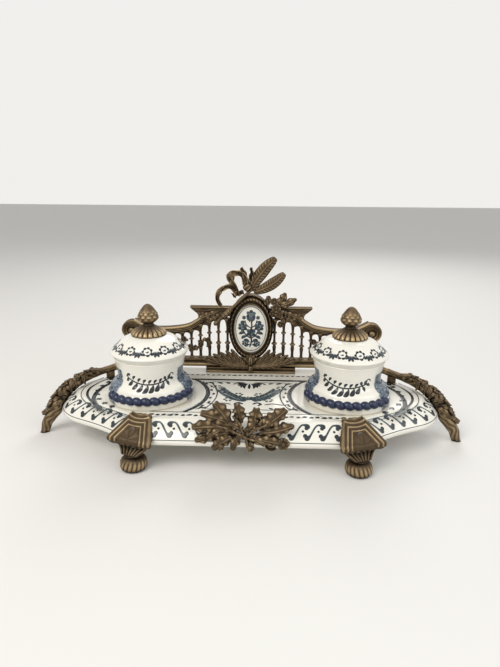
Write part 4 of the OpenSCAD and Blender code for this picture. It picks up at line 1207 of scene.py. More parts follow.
    def finial(self, material: bpy.types.Material) -> None:
        """Builds the bud-shaped knob: overlapping scales below, a smooth tip above, and its stud."""
        neck = self.crown - 0.0018 + self.cap_rise
        k, h = self.knob, self.knob_rise
        profile = curve([[BORE, neck - 0.012], [0.0019, neck - 0.0119], [0.0019, neck - 0.0002],
                         [0.0044, neck], [0.0046, neck + 0.0006], [0.0040, neck + 0.0014],
                         [0.0042, neck + 0.0020], [k * 0.72, neck + h * 0.17], [k * 0.97, neck + h * 0.31],
                         [k, neck + h * 0.42], [k * 0.88, neck + h * 0.58], [k * 0.62, neck + h * 0.79],
                         [k * 0.36, neck + h * 0.93], [k * 0.14, neck + h * 0.99], [BORE, neck + h]], 7)
        grid = lathe(profile, self.centre, 120)
        a = np.linspace(0, TAU, 120, endpoint=False)[None]
        up = ((profile[:, 1] - neck) / h)[:, None]
        rows = up * 7.5
        scale = np.abs(np.sin(5 * a + np.pi * np.floor(rows) * 0.5)) * (1 - np.mod(rows, 1)) ** 0.6
        zone = np.clip((up - 0.16) / 0.08, 0, 1) * np.clip((0.80 - up) / 0.2, 0, 1)
        bulge = 0.0007 * scale * zone
        centre = np.array([*self.centre, 0.0])
        flat = grid[..., :2] - centre[:2]
        grid[..., :2] = centre[:2] + flat * (1 + bulge / np.maximum(profile[:, :1], 0.001))[..., None]
        shell = Shell()
        # The value also rises towards the tip, which paints a highlight on the knob's top in the bronze.
        shell.grid(grid, 0.35 + 0.5 * scale * zone + 0.25 * np.clip(up - 0.6, 0, 1))
        shell.cast(f"lid_knob_{self.side}", material, f"finial_{self.side}", self.body_name, "bronze")


# Cast ornament


def area(outline: Array) -> float:
    """Signed area of a closed outline, above 0 where it runs anticlockwise."""
    ahead = np.roll(outline, -1, axis=0)
    return float((outline[:, 0] * ahead[:, 1] - outline[:, 1] * ahead[:, 0]).sum() / 2)


def rounded(corners: Any, fine: int = 3) -> Array:
    """Closed outline through corners, with each edge cut into steps."""
    p = np.asarray(corners, float)
    s = (np.arange(fine) / fine)[None, :, None]
    return (p[:, None] * (1 - s) + np.roll(p, -1, axis=0)[:, None] * s).reshape(-1, 2)


def sweep(section: Array, path: Array, across: Array, over: Array,
          grow: Union[Array, float] = 1.0) -> Tuple[Array, Array]:
    """Carries a closed section (u, w) along a path: a point is path + grow (u across + w over).

    Args:
        section: closed outline (m, 2).
        path: points (n, 3).
        across: unit vectors (n, 3) for u.
        over: unit vectors (n, 3) for w.
        grow: size of the section at each point.

    Returns:
        Grid (n, m, 3) wound to face outwards, and the section in the grid's order.
    """
    turn = float((np.cross(across, over) * tangents(path)).sum())
    outline = section if area(section) * turn > 0 else section[::-1]
    g = np.broadcast_to(grow, len(path))[:, None, None]
    ring = outline[None, :, :1] * across[:, None] + outline[None, :, 1:] * over[:, None]
    return path[:, None] + g * ring, outline


def upright(front: float) -> Callable[[Array, Array], Array]:
    """Mapping of drawings (x, z) onto the upright plane y = front, with heights towards the viewer."""

    def place(flat: Array, lift: Array) -> Array:
        """Point for each drawing point and height."""
        return np.stack([flat[..., 0], front - lift, flat[..., 1]], axis=-1)

    return place


@dataclass
class Casting:
    """Gathers cast bronze ornament laid on a surface, as closed sheets and round forms."""

    onto: Callable[[Array, Array], Array]
    shell: Shell = field(default_factory=Shell)

    def lay(self, flat: Array, top: Array, under: Array, tone: Array) -> None:
        """Adds a closed sheet over drawing points, between two heights."""
        shape = flat.shape[:-1]
        over, below = (self.onto(flat, np.broadcast_to(h, shape)) for h in (top, under))
        self.shell.sheet(over[:, ::-1], below[:, ::-1], np.broadcast_to(tone, shape)[:, ::-1])

    def leaf(self, spine: Any, width: float, lift: float = 0.0014, thick: float = 0.0014, lobes: float = 0,
             cut: float = 0.35, ribs: float = 6, curl: float = 0.0,
             rise: Tuple[float, float] = (0.0, 0.0), blunt: float = 0.7, hollow: float = 0.0,
             wave: float = 0.0) -> None:
        """Adds a chased leaf.

        A point is spine(s) + v w(s) left(s), where w(s) = width sin(pi s)^blunt (1 - cut sin(lobes pi s)^2)
        and v runs from -1 to 1. Its height is a dome, ridges that slant like barbs, a midrib and a curl.

        Args:
            spine: knots from root to tip.
            width: greatest half width.
            lift: height of the dome over the surface.
            thick: thickness of the casting.
            lobes: number of lobes on each edge.
            cut: depth of the cuts between lobes.
            ribs: number of ridges on each side.
            curl: how far the tip turns forwards.
            rise: height of the whole leaf at its root and its tip.
            blunt: power that rounds the outline.
            hollow: depth of the trough along the middle.
            wave: height of the waves along the edges.
        """
        knots = np.asarray(spine, float)
        rows = int(max(22, 5 * ribs, 9 * lobes))
        path = curve(knots, max(3, rows // (len(knots) - 1)))
        s = np.linspace(0, 1, len(path))[:, None]
        v = np.linspace(-1, 1, 17)[None]
        t = tangents(path)
        left = np.stack([-t[:, 1], t[:, 0]], axis=-1)
        bell = np.maximum(np.sin(np.pi * (0.025 + 0.96 * s)), 0.0) ** blunt
        outline = width * bell * (1 - cut * np.sin(np.pi * lobes * s) ** 2) if lobes else width * bell
        forward = (0.06 if lobes else 0.12) * width * np.abs(v) ** 1.6 * bell
        phase = s - (0.02 if lobes else 0.9 * np.abs(v) / max(ribs, 4))
        ridge = (0.5 + 0.5 * np.cos(TAU * (lobes or ribs) * phase)) * np.clip(np.abs(v) * 3 - 0.3, 0, 1)
        edge = np.clip((1 - np.abs(v)) * 5, 0, 1)
        midrib = np.exp(-((v / 0.12) ** 2))
        fine = 0.5 + 0.5 * np.cos(TAU * 3.2 * (lobes or ribs) * phase)
        height = lift * (0.3 + 0.7 * (1 - v**2)) - hollow * (1 - np.abs(v))
        height = height + 0.42 * lift * ridge * edge + 0.12 * lift * fine * edge
        ripple = wave * v**2 * np.cos(TAU * (lobes or ribs) * 0.5 * s)
        height = (height + 0.4 * lift * midrib) * bell**0.5 + ripple
        height = height + rise[0] + (rise[1] - rise[0]) * s + curl * np.clip((s - 0.55) / 0.45, 0, 1) ** 2
        flat = path[:, None] + left[:, None] * (outline * v)[..., None] + t[:, None] * forward[..., None]
        self.lay(flat, height, height - thick * (0.3 + 0.7 * bell) + 0 * v,
                 0.15 + 0.5 * ridge * edge + 0.45 * midrib + 0 * s)

    def ribbon(self, spine: Any, width: Tuple[float, float], lift: float = 0.001, thick: float = 0.0012,
               twist: Tuple[float, float] = (0.0, 0.0), rise: Tuple[float, float] = (0.0, 0.0),
               crumple: float = 0.0) -> None:
        """Adds a band of ribbon with rolled edges.

        Args:
            spine: knots along its middle.
            width: half width at the start and at the end.
            lift: height over the surface.
            thick: thickness.
            twist: turn of its section at the start and at the end, in degrees.
            rise: extra height at the start and at the end.
            crumple: strength of the folds along it.
        """
        path = curve(spine, 9)
        s = np.linspace(0, 1, len(path))[:, None]
        v = np.linspace(-1, 1, 13)[None]
        t = tangents(path)
        left = np.stack([-t[:, 1], t[:, 0]], axis=-1)
        turn = np.radians(twist[0] + (twist[1] - twist[0]) * s)
        half = (width[0] + (width[1] - width[0]) * s) * (1 + crumple * 0.26 * np.sin(15 * s + 1.5 * v))
        rolled = 0.0007 * np.abs(v) ** 3 + 0.0003 * np.cos(3 * np.pi * v)
        rolled = rolled + crumple * 0.0006 * v * np.sin(17 * s)
        flat = path[:, None] + left[:, None] * (half * v * np.cos(turn))[..., None]
        height = lift + rise[0] + (rise[1] - rise[0]) * s + half * v * np.sin(turn) + rolled
        self.lay(flat, height, height - thick, 0.25 + 0.6 * np.abs(v) ** 3 + 0 * s)

    def rod(self, spine: Any, radius: Any, lift: Any = 0.001, sides: int = 14, ribs: int = 0,
            deep: float = 0.1, bark: float = 0.0, steps: int = 6) -> None:
        """Adds a round form along a path: a stem, an acorn, a bud or a ringed shaft.

        Args:
            spine: knots along its axis.
            radius: radii at even places from start to end.
            lift: heights of the axis at even places from start to end.
            sides: points in a ring.
            ribs: number of ribs along it.
            deep: depth of the ribs as a share of the radius.
            bark: depth of the knobbles as a share of the radius.
            steps: points between neighbouring knots.
        """
        flat = curve(spine, steps)
        s = np.linspace(0, 1, len(flat))
        stations = [np.atleast_1d(given) for given in (radius, lift)]
        r, high = (np.interp(s, np.linspace(0, 1, len(given)), given) for given in stations)
        path = self.onto(flat, high)
        out = unit(self.onto(flat, high + 0.001) - path)
        grid = tube(path, r, sides, up=out)
        a, i = np.linspace(0, TAU, sides, endpoint=False)[None], np.arange(len(flat))[:, None]
        knobbles = bark * np.sin(2.1 * i + 1.3 * a) * np.sin(0.9 * i - 2.2 * a)
        grow = 1 + deep * np.cos(ribs * a) * (ribs > 0) + knobbles
        self.shell.grid(path[:, None] + (grid - path[:, None]) * grow[..., None],
                        0.45 + 0.4 * (grow - 1) / max(deep, bark, 0.01))

    def bead(self, centre: Tuple[float, float], radius: float, lift: float = 0.0, ribs: int = 0) -> None:
        """Adds a ball, ribbed like a bud where ribs is given."""
        a = np.linspace(0.08, math.pi - 0.08, 9)
        spine = np.stack([centre[0] - radius * np.cos(a), np.full(9, centre[1])], axis=-1)
        self.rod(spine, radius * np.sin(np.linspace(0.08, math.pi - 0.08, 9)), lift, 14, ribs, 0.12, 0.0, 1)

    def acorn(self, root: Tuple[float, float], turn: float, size: float, lift: float = 0.002) -> None:
        """Adds an acorn: a knobbly cup and a smooth pointed nut, pointing at turn degrees."""
        way = np.array([math.cos(math.radians(turn)), math.sin(math.radians(turn))])
        spot = [np.asarray(root) + way * size * k for k in (0.0, 0.35, 0.8, 1.15, 2.0)]
        self.rod([spot[0], spot[1], spot[2]], np.array([0.25, 0.75, 0.98, 1.02, 0.9]) * size * 0.62, lift,
                 16, 8, 0.05, 0.10)
        self.rod([spot[1], spot[3], spot[4]],
                 np.array([0.5, 0.78, 0.82, 0.8, 0.66, 0.4, 0.10]) * size * 0.62, lift, 16)

    def flower(self, centre: Tuple[float, float], size: float, petals: int = 5, lift: float = 0.0012,
               turn: float = 0.0) -> None:
        """Adds a rosette: broad cupped petals round a bead."""
        for k in range(petals):
            a = TAU * k / petals + turn
            way = np.array([math.cos(a), math.sin(a)]) * size
            root = np.asarray(centre)
            self.leaf([root + way * 0.12, root + way * 0.55, root + way], size * 0.46, lift * 0.7, 0.0016,
                      ribs=1.5, rise=(lift * 0.4, lift), blunt=0.42, hollow=lift * 0.3)
        self.bead(centre, size * 0.28, lift * 1.4, 6)

    def build(self, name: str, material: bpy.types.Material, node: str) -> None:
        """Makes the castings one piece on the base body, in place of a CAD node."""
        self.shell.cast(name, material, node)


@dataclass
class Gallery:
    """Pierced gallery: plinth, base rail, balusters, curved top rails, horns, volutes and oval frame."""

    y: float = 0.050
    foot: float = 0.0365
    plinth_half: float = 0.042
    plinth_deep: float = 0.013
    plinth_high: float = 0.005
    rail_half: float = 0.106
    rail_deep: float = 0.009
    rail_high: float = 0.008
    panel: float = 0.004
    pitch: float = 0.0085
    slot: float = 0.0048
    horn: float = 0.050
    oval: Tuple[float, float] = (0.0205, 0.031)
    picture: Tuple[float, float] = (0.016, 0.0233)
    drop: float = -0.0016
    volute: float = 0.0104
    volute_out: float = 0.0055
    volute_up: float = 0.026
    feather: float = 0.035

    @property
    def sill(self) -> float:
        """Top of the base rail."""
        return self.foot + self.plinth_high + self.rail_high

    @property
    def centre(self) -> float:
        """Height of the oval frame's middle."""
        return self.sill + self.oval[1]

    @property
    def front(self) -> float:
        """Front of the frame's raised border, on which the ornament lies."""
        return self.y - self.rail_deep / 2 - 0.0026

    def moulding(self, profile: Any, half: float, z: float, name: str, node: str,
                 material: bpy.types.Material) -> None:
        """Makes a straight moulding along X, alike in front and behind, from a profile (depth, height)."""
        right = np.asarray(profile, float)
        section = rounded(np.vstack([right * [-1, 1], right[::-1]]))
        inner = np.linspace(-half + 0.004, half - 0.004, 12)
        x = np.array([-half, -half + 0.0005, *inner, half - 0.0005, half])
        path = np.stack([x, np.full_like(x, self.y), np.full_like(x, z + right[-1, 1] / 2)], axis=-1)
        across, over = (np.broadcast_to(axis, path.shape) for axis in ([0.0, 1.0, 0.0], [0.0, 0.0, 1.0]))
        grow = np.where(np.abs(np.abs(x) - half) < 1e-6, 0.94, 1.0)
        grid, outline = sweep(section - [0, right[-1, 1] / 2], path, across, over, grow)
        shell = Shell()
        shell.grid(grid, 0.1 + 0.75 * (np.abs(outline[:, 0]) / right[:, 0].max()) ** 3
                   + np.zeros((len(x), 1)))
        shell.cast(name, material, node)

    def base(self, material: bpy.types.Material) -> None:
        """Makes the stepped plinth and the base rail: torus, cove and fillets."""
        d, h = self.plinth_deep / 2, self.plinth_high
        self.moulding([(d, 0), (d, h * 0.28), (d - 0.0004, h * 0.36), (d - 0.0014, h * 0.42),
                       (d - 0.0018, h * 0.56), (d - 0.0014, h * 0.72), (d - 0.0007, h * 0.80),
                       (d - 0.0006, h)], self.plinth_half, self.foot, "gallery_plinth_moulded",
                      "gallery_plinth", material)
        d, h = self.rail_deep / 2, self.rail_high
        self.moulding([(d - 0.0012, 0), (d - 0.0004, h * 0.08), (d, h * 0.2), (d, h * 0.32),
                       (d - 0.0005, h * 0.42), (d - 0.0014, h * 0.47), (d - 0.0017, h * 0.6),
                       (d - 0.0012, h * 0.74), (d - 0.0004, h * 0.80), (d - 0.0004, h * 0.86),
                       (d - 0.0009, h * 0.9), (d - 0.0004, h * 0.94), (d - 0.0004, h)], self.rail_half,
                      self.foot + self.plinth_high, "gallery_rail_moulded", "gallery_base_rail", material)

    def path(self) -> Array:
        """Centre line (x, z) of a top rail, from the horn out to the volute's crown."""
        s, x, v = self.sill, self.rail_half, self.rail_half + self.volute_out
        return curve([(0.045, s + 0.0376), (0.050, s + 0.0338), (0.057, s + 0.030), (0.066, s + 0.0279),
                      (0.080, s + 0.0266), (x - 0.012, s + 0.027), (x - 0.004, s + 0.0305),
                      (v - 0.002, s + self.volute_up + self.volute - 0.0019)], 8)

    def roof(self, x: Array) -> Array:
        """Height of the top rail's centre line at x."""
        path = self.path()
        at = np.concatenate([[0.0, 0.034, 0.042], path[:, 0]])
        high = np.concatenate([[self.sill + 0.042, self.sill + 0.041, self.sill + 0.0385], path[:, 1]])
        return np.interp(x, at, high)

    def side(self, name: str, sign: float, material: bpy.types.Material) -> None:
        """Makes one side: balusters, top rail, scroll, horn and end post, in place of the CAD side."""
        shell = Shell()
        self.top_rail(shell)
        self.scroll(shell)
        self.balusters(shell)
        self.horn_block(shell)
        self.post(shell)
        if sign < 0:
            shell.mirror(0)
        shell.cast(f"gallery_side_cast_{name}", material, f"gallery_side_{name}")

    def top_rail(self, shell: Shell) -> None:
        """Adds the top rail: a flat bar with three reeds and a cap that overhangs in front."""
        front, back = -self.panel / 2, self.panel / 2
        steps = [(back + 0.0004, -0.0033), (back + 0.0004, 0.0006), (back + 0.001, 0.001),
                 (back + 0.001, 0.0030), (front - 0.0026, 0.0030), (front - 0.0030, 0.0026),
                 (front - 0.0030, 0.0014), (front - 0.0024, 0.0010), (front - 0.0012, 0.0008),
                 (front - 0.0018, 0.0003), (front - 0.0020, -0.0002), (front - 0.0016, -0.0007),
                 (front - 0.0008, -0.0010), (front - 0.0014, -0.0014), (front - 0.0016, -0.0018),
                 (front - 0.0012, -0.0022), (front - 0.0006, -0.0025), (front - 0.0012, -0.0029),
                 (front - 0.0008, -0.0033)]
        flat = self.path()
        path = np.stack([flat[:, 0], np.full(len(flat), self.y), flat[:, 1]], axis=-1)
        across = np.broadcast_to([0.0, 1.0, 0.0], path.shape)
        over = unit(np.cross(across, tangents(path)))
        over = np.where(over[:, 2:] < 0, -over, over)
        grid, outline = sweep(rounded(steps, 2), path, across, over)
        out = np.clip((front - outline[:, 0]) / 0.0028, 0, 1)
        shell.grid(grid, 0.1 + 0.8 * out + np.zeros((len(path), 1)))

    def scroll(self, shell: Shell) -> None:
        """Adds the volute: a reeded band that winds two turns inwards round a button."""
        cx, cz = self.rail_half + self.volute_out, self.sill + self.volute_up
        s = np.linspace(0, 1, 96)
        turns = np.radians(112 - 640 * s)
        r = self.volute - 0.0019 - (self.volute - 0.0046) * s**0.92
        path = np.stack([cx + r * np.cos(turns), np.full(96, self.y), cz + r * np.sin(turns)], axis=-1)
        section = np.array([(2.3, -1.0), (2.3, 1.0), (-3.4, 1.0), (-4.3, 0.75), (-4.0, 0.4), (-3.7, 0.3),
                            (-4.1, 0.1), (-3.8, -0.15), (-3.4, -0.3), (-3.8, -0.6), (-3.4, -1.0)]) * MM
        across, over = np.broadcast_to([0.0, 1.0, 0.0], path.shape), unit(path - [cx, self.y, cz])
        grid, outline = sweep(section, path, across, over, 1.0)
        narrow = np.interp(s, [0, 1], [1.9, 1.0])[:, None, None]
        centre = path[:, None]
        away = ((grid - centre) * over[:, None]).sum(axis=-1, keepdims=True) * over[:, None]
        grid = grid + away * (narrow - 1)
        shell.grid(grid, 0.1 + 0.75 * np.clip((-outline[:, 0] - 0.0030) / 0.0013, 0, 1) + np.zeros((96, 1)))
        front = self.y - self.panel / 2
        button = curve([(BORE, front - 0.0034), (0.0014, front - 0.0032), (0.0026, front - 0.0022),
                        (0.0031, front - 0.0010), (0.0032, front - 0.0004)], 3)
        rim, back = self.volute - 0.0026, front + self.panel
        plate = np.vstack([button, [[rim, front - 0.0002], [rim, back], [BORE, back]]])
        a = np.linspace(0, TAU, 48, endpoint=False)
        disc = np.stack([cx + plate[:, :1] * np.cos(a), np.broadcast_to(plate[:, 1:], (len(plate), 48)),
                         cz + plate[:, :1] * np.sin(a)], axis=-1)
        shell.grid(disc, 0.55)

    def balusters(self, shell: Shell) -> None:
        """Adds turned balusters with rings between the rails, and the pointed arches over the slots."""
        first = self.oval[0] + 0.0014
        count = int((self.rail_half - 0.005 - first) / self.pitch) + 1
        half = (self.pitch - self.slot) / 2
        low = self.sill - 0.0004
        for k in range(count):
            x = first + k * self.pitch
            tall = float(self.roof(x)) - 0.0030 - low
            w = half * 0.95
            knots = [(w * 1.3, 0), (w * 1.35, 0.0012), (w * 0.85, 0.0020), (w * 0.75, tall * 0.18),
                     (w * 1.02, tall * 0.30), (w * 0.72, tall * 0.345), (w * 1.42, tall * 0.375),
                     (w * 1.42, tall * 0.405), (w * 0.72, tall * 0.43), (w * 0.66, tall * 0.62),
                     (w * 1.3, tall * 0.65), (w * 1.3, tall * 0.675), (w * 0.7, tall * 0.70),
                     (w * 0.9, tall * 0.86), (w * 1.5, tall * 0.95), (w * 1.9, tall)]
            profile = curve([(BORE, 0)] + knots + [(BORE, tall)], 3)
            profile[:, 0] = np.maximum(profile[:, 0], BORE)
            grid = lathe(profile + [0, low], (x, self.y), 20)
            shell.grid(grid, 0.1 + 0.5 * (profile[:, :1] / (w * 1.4)) ** 2 + np.zeros((1, 20)))
            if k < count - 1:
                self.arch(shell, x)

    def arch(self, shell: Shell, x: float) -> None:
        """Adds the web over a slot: a plate between the top rail and a round-headed arch."""
        u = np.linspace(0, 1, 15)
        at = x + self.pitch * u
        roof = self.roof(at) - 0.0014
        spring = roof.min() - 0.0060
        low = spring + (roof.min() - 0.0022 - spring) * (1 - np.abs(2 * u - 1) ** 2.2) ** 0.6
        front = self.y - self.panel / 2
        face = np.stack([np.stack([at, np.full(15, front - 0.0002), row], -1) for row in (low, roof)])
        shell.sheet(face[::-1], face[::-1] + [0, self.panel, 0], 0.3)

    def horn_block(self, shell: Shell) -> None:
        """Adds the horn: a flared block under a cornice of fillets, with a chased cheek."""
        top = self.sill + self.horn
        edge = curve([(0.0559, top), (0.0557, top - 0.0014), (0.0538, top - 0.0032), (0.0515, top - 0.0052),
                      (0.0492, top - 0.0072), (0.0486, top - 0.0096), (0.0494, top - 0.0122),
                      (0.0512, top - 0.0145), (0.0470, top - 0.0146)], 5)
        rows, cols = len(edge), 44
        u = np.linspace(0, 1, cols)[None]
        inner = self.oval[0] - 0.003
        x = edge[:, :1] * (1 - u) + inner * u
        down = (top - edge[:, 1:]) * (1 - u) + np.linspace(0, 1, rows)[:, None] * 0.0085 * u
        z = top - down
        fillet = np.exp(-(((down - 0.0008) / 0.0006) ** 2))
        for share, at in ((0.6, 0.0026), (0.35, 0.0042)):
            fillet = fillet + share * np.exp(-(((down - at) / 0.0005) ** 2))
        leafy = np.clip((down - 0.005) / 0.002, 0, 1) * np.clip((0.0140 - down) / 0.002, 0, 1)
        veins = np.abs(np.cos(np.pi * (x - 0.040) / 0.0042 + 90 * (down - 0.008))) * leafy
        y = self.y - self.panel / 2 - 0.0010 - 0.0013 * fillet - 0.0009 * veins
        front = np.stack([x, y, z], axis=-1)
        back = np.stack([x, np.full_like(x, self.y + self.panel / 2), z], axis=-1)
        shell.sheet(front, back, 0.15 + 0.7 * np.clip(fillet + 0.5 * veins, 0, 1))
        cheek = Casting(upright(self.y - self.panel / 2 - 0.0012), shell)
        leaves = [(((30, 45.5), (40, 41.5), (49.5, 37.5)), 3.6), (((28, 44), (33, 39), (40, 36.5)), 2.8)]
        for spine, width in leaves:
            cheek.leaf([(x * MM, self.sill + z * MM) for x, z in spine], width * MM, 0.0010, 0.0016,
                       lobes=4, cut=0.34, wave=0.0003)

    def post(self, shell: Shell) -> None:
        """Adds the end post under the volute, with beaded edges."""
        x0, x1, d = self.rail_half - 0.006, self.rail_half, self.panel / 2
        section = rounded([(x0, d + 0.0004), (x0, -d - 0.0003), (x0 + 0.0010, -d - 0.0008),
                           (x0 + 0.0020, -d - 0.0001), (x1 - 0.0020, -d - 0.0001),
                           (x1 - 0.0010, -d - 0.0008), (x1, -d - 0.0003), (x1, d + 0.0004)], 2)
        middle = section.mean(axis=0)
        z = np.array([self.sill - 0.0002, self.sill + 0.0012, self.sill + 0.0022,
                      *np.linspace(self.sill + 0.004, self.sill + 0.019, 8)])
        path = np.stack([np.full_like(z, middle[0]), np.full_like(z, self.y + middle[1]), z], axis=-1)
        across, over = (np.broadcast_to(axis, path.shape) for axis in ([1.0, 0.0, 0.0], [0.0, 1.0, 0.0]))
        base = np.where(z < self.sill + 0.0015, 1.12, 1.0)
        grid = sweep(section - middle, path, across, over, base)[0]
        shell.grid(grid, 0.4)

    def frame(self, material: bpy.types.Material) -> None:
        """Makes the oval frame: inner lip, hollow, leafy roll and outer bead, swept round the oval."""
        a = np.linspace(0, TAU, 432, endpoint=False)[:, None]
        back, y0 = self.y + 0.0025, self.y - self.rail_deep / 2
        section = np.array([(0.0, y0 + 0.0012), (0.0, y0 - 0.0006), (0.07, y0 - 0.0012),
                            (0.16, y0 - 0.0010), (0.22, y0 - 0.0002), (0.32, y0 - 0.0006),
                            (0.38, y0 - 0.0015), (0.46, y0 - 0.0023), (0.54, y0 - 0.0026),
                            (0.62, y0 - 0.0023), (0.70, y0 - 0.0015), (0.78, y0 - 0.0003),
                            (0.84, y0 - 0.0006), (0.89, y0 - 0.0013), (0.93, y0 - 0.0015),
                            (0.97, y0 - 0.0010), (1.0, y0 + 0.0004), (1.0, back), (0.0, back)])
        s, depth = section[None, :, 0], section[None, :, 1]
        inner = np.array(self.picture) - 0.0005
        wide, tall = (inner[k] + (self.oval[k] - inner[k]) * s for k in (0, 1))
        roll = np.exp(-(((s - 0.54) / 0.15) ** 2))
        leafy = roll * (0.5 + 0.5 * np.cos(40 * a + 9 * (s - 0.54)))
        beads = np.exp(-(((s - 0.93) / 0.05) ** 2)) * (0.5 + 0.5 * np.cos(72 * a))
        forward = np.where(depth >= back, depth,
                           depth + 0.0009 * roll * (1 - 2 * leafy) * 0.5 - 0.0003 * beads)
        grid = np.stack([wide * np.sin(a), np.broadcast_to(forward, (len(a), len(section))),
                         self.centre + self.drop * (1 - s) + tall * np.cos(a)], axis=-1)
        lip = np.exp(-(((s - 0.07) / 0.07) ** 2))
        shell = Shell()
        shell.loop(grid[::-1], (0.15 + 0.7 * np.clip(leafy + beads, 0, 1) + 0.4 * lip)[::-1])
        shell.cast("oval_frame", material, "plaque_frame")

    def palms(self, material: bpy.types.Material) -> None:
        """Makes the palm leaves that fan out under the plaque, with a bud and a drop."""
        cast = Casting(upright(self.front - 0.0012))
        root = np.array([0.0, self.foot + self.plinth_high + 0.002])
        for sign in SIDES.values():
            flip = np.array([sign, 1.0])
            for k, (reach, rise) in enumerate(zip((46, 41, 35, 29, 23, 18), (8, 10, 12.5, 14.5, 16, 17.5))):
                spine = [(1 + k * 0.6, k * 0.6), (reach * 0.3, rise * 0.12), (reach * 0.62, rise * 0.40),
                         (reach, rise)]
                cast.leaf([root + np.array(p) * MM * flip for p in spine], 0.0030, 0.0014, 0.0014, ribs=9,
                          blunt=0.6, rise=(0.00015 * (5 - k), 0.0004), curl=0.0014)
        for k in range(-2, 3):
            a = math.radians(90 + 27 * k)
            tip = root + [0.0085 * math.cos(a), 0.004 + 0.0085 * math.sin(a)]
            cast.leaf([root + [0, 0.003], (root + [0, 0.003] + tip) / 2 + [0.0008 * np.sign(k), 0], tip],
                      0.0019, 0.001, 0.0018, ribs=3, rise=(0.0003, 0.0008))
        cast.rod([root + [0, 0.0105], root + [0, 0.006], root + [0, 0.002]],
                 [0.0004, 0.0022, 0.0028, 0.0022, 0.0008], 0.0010, 16, 6, 0.1)
        cast.rod([root + [0, 0.001], root + [0, -0.002], root + [0, -0.005]],
                 [0.0008, 0.0022, 0.0018, 0.0004], 0.0008, 16, 5, 0.1)
        cast.build("gallery_palms", material, "gallery_leaves")

    def arrow(self, material: bpy.types.Material) -> None:
        """Makes the arrow: a ringed bulb, a chequered sleeve, a plain shaft and two broad feathers."""
        cast = Casting(upright(self.front))
        tail = np.array([-0.033, self.centre + 0.0035])
        head = np.array([0.001, self.centre + self.oval[1] + 0.006])
        way = unit(head - tail)
        run = float(np.linalg.norm(head - tail))

        def at(mm: float) -> Array:
            """Place on the axis, in millimetres from the tail."""
            return tail + way * mm * MM

        cast.rod([at(0), at(run / MM)], [0.0014] * 2, 0.0016, 16, steps=12)
        cast.rod([at(-0.8), at(6.6)],
                 [0.0006, 0.0013, 0.0019, 0.0022, 0.0021, 0.0016, 0.0013, 0.0019, 0.0019, 0.0012], 0.0016,
                 18, steps=18)
        cast.rod([at(7.4), at(8.8)], [0.0013, 0.0020, 0.0020, 0.0013], 0.0016, 18, steps=8)
        cast.rod([at(10.5), at(21.5)],
                 [0.0014, 0.0021, 0.0021, 0.0017, 0.0021, 0.0021, 0.0017, 0.0021, 0.0021, 0.0017, 0.0021,
                  0.0021, 0.0014], 0.0016, 24, 8, 0.10, steps=30)
        tops = [np.array([0.0225, self.centre + self.oval[1] + self.feather]),
                np.array([0.031, self.centre + self.oval[1] + self.feather * 0.6])]
        for k in (1, 0):
            root = head + np.array([-1.5 + 3 * k, -2 - 1.5 * k]) * MM
            bow = np.array([-1.5 + 3 * k, 1 - 2.4 * k]) * MM
            tip = tops[k] - unit(tops[k] - root) * 0.0016
            cast.leaf([root, (root * 2 + tip) / 3 + bow, (root + tip * 2) / 3 + bow, tip],
                      0.0056 - 0.0006 * k, 0.0013, 0.0014, ribs=13, blunt=0.5,
                      rise=(0.0010 - 0.0004 * k, 0.0014 - 0.0008 * k), curl=0.0008)
        cast.build("gallery_arrow_cast", material, "gallery_arrow")

    def bow(self, material: bpy.types.Material) -> None:
        """Makes the ribbon bow: two tongues, an arch with a leaf-like fold, a coil and a loose end."""
        cast = Casting(upright(self.front))
        knot = np.array([0.001, self.centre + self.oval[1] + 0.006]) + np.array([-4.5, 1.3]) * MM
        loops = [
            ([(-13, -8), (-9, -6), (-3, -4.5)], (2.2, 1.6), (10, -15), (0.6, 1.2)),
            ([(0, 2), (-1, 8), (-3, 13.5), (-5.5, 17.5)], (2.1, 1.3), (0, 30), (1.2, 2.0)),
            ([(2, 3), (3.4, 9), (4, 14), (3.4, 17.8)], (2.0, 1.2), (0, -35), (1.0, 1.6)),
            ([(-1, 3), (-3.5, 9.5), (-8, 12.8), (-13, 12.6), (-15.5, 8), (-12, 1), (-8.5, -6)], (2.2, 2.3),
             (-10, 40), (1.8, 0.8)),
            ([(-8.5, -5.5), (-13, -1.2), (-18, 0.4), (-23, -2), (-26, -7), (-27, -12), (-23.5, -17.5)],
             (2.2, 1.5), (35, -30), (1.2, 0.8)),
        ]
        for spine, width, twist, rise in loops:
            cast.ribbon([knot + np.array(p) * MM for p in spine],
                        (width[0] * 1.15 * MM, width[1] * 1.25 * MM), 0.0006, 0.0012, twist,
                        (rise[0] * MM, rise[1] * MM), 1.0)
        folds = [
            (((-10, 12.5), (-14, 10.5), (-18.6, 9.6)), 3.8),
            (((-12, 9), (-13.5, 4), (-9.5, -1.5)), 2.6),
            (((-21, 0.5), (-25, -4.5), (-26.5, -11)), 2.6),
        ]
        for fold, width in folds:
            cast.leaf([knot + np.array(p) * MM for p in fold], width * MM, 0.0010, 0.0014, lobes=2, cut=0.3,
                      rise=(0.0014, 0.0014))
        cast.rod([knot + np.array(p) * MM for p in ((-2.6, -2.2), (0, 0), (2.6, 2.2))],
                 [0.0018, 0.0032, 0.0036, 0.0032, 0.0018], 0.0016, 18, 6, 0.08)
        cast.build("gallery_ribbon_cast", material, "gallery_ribbon")

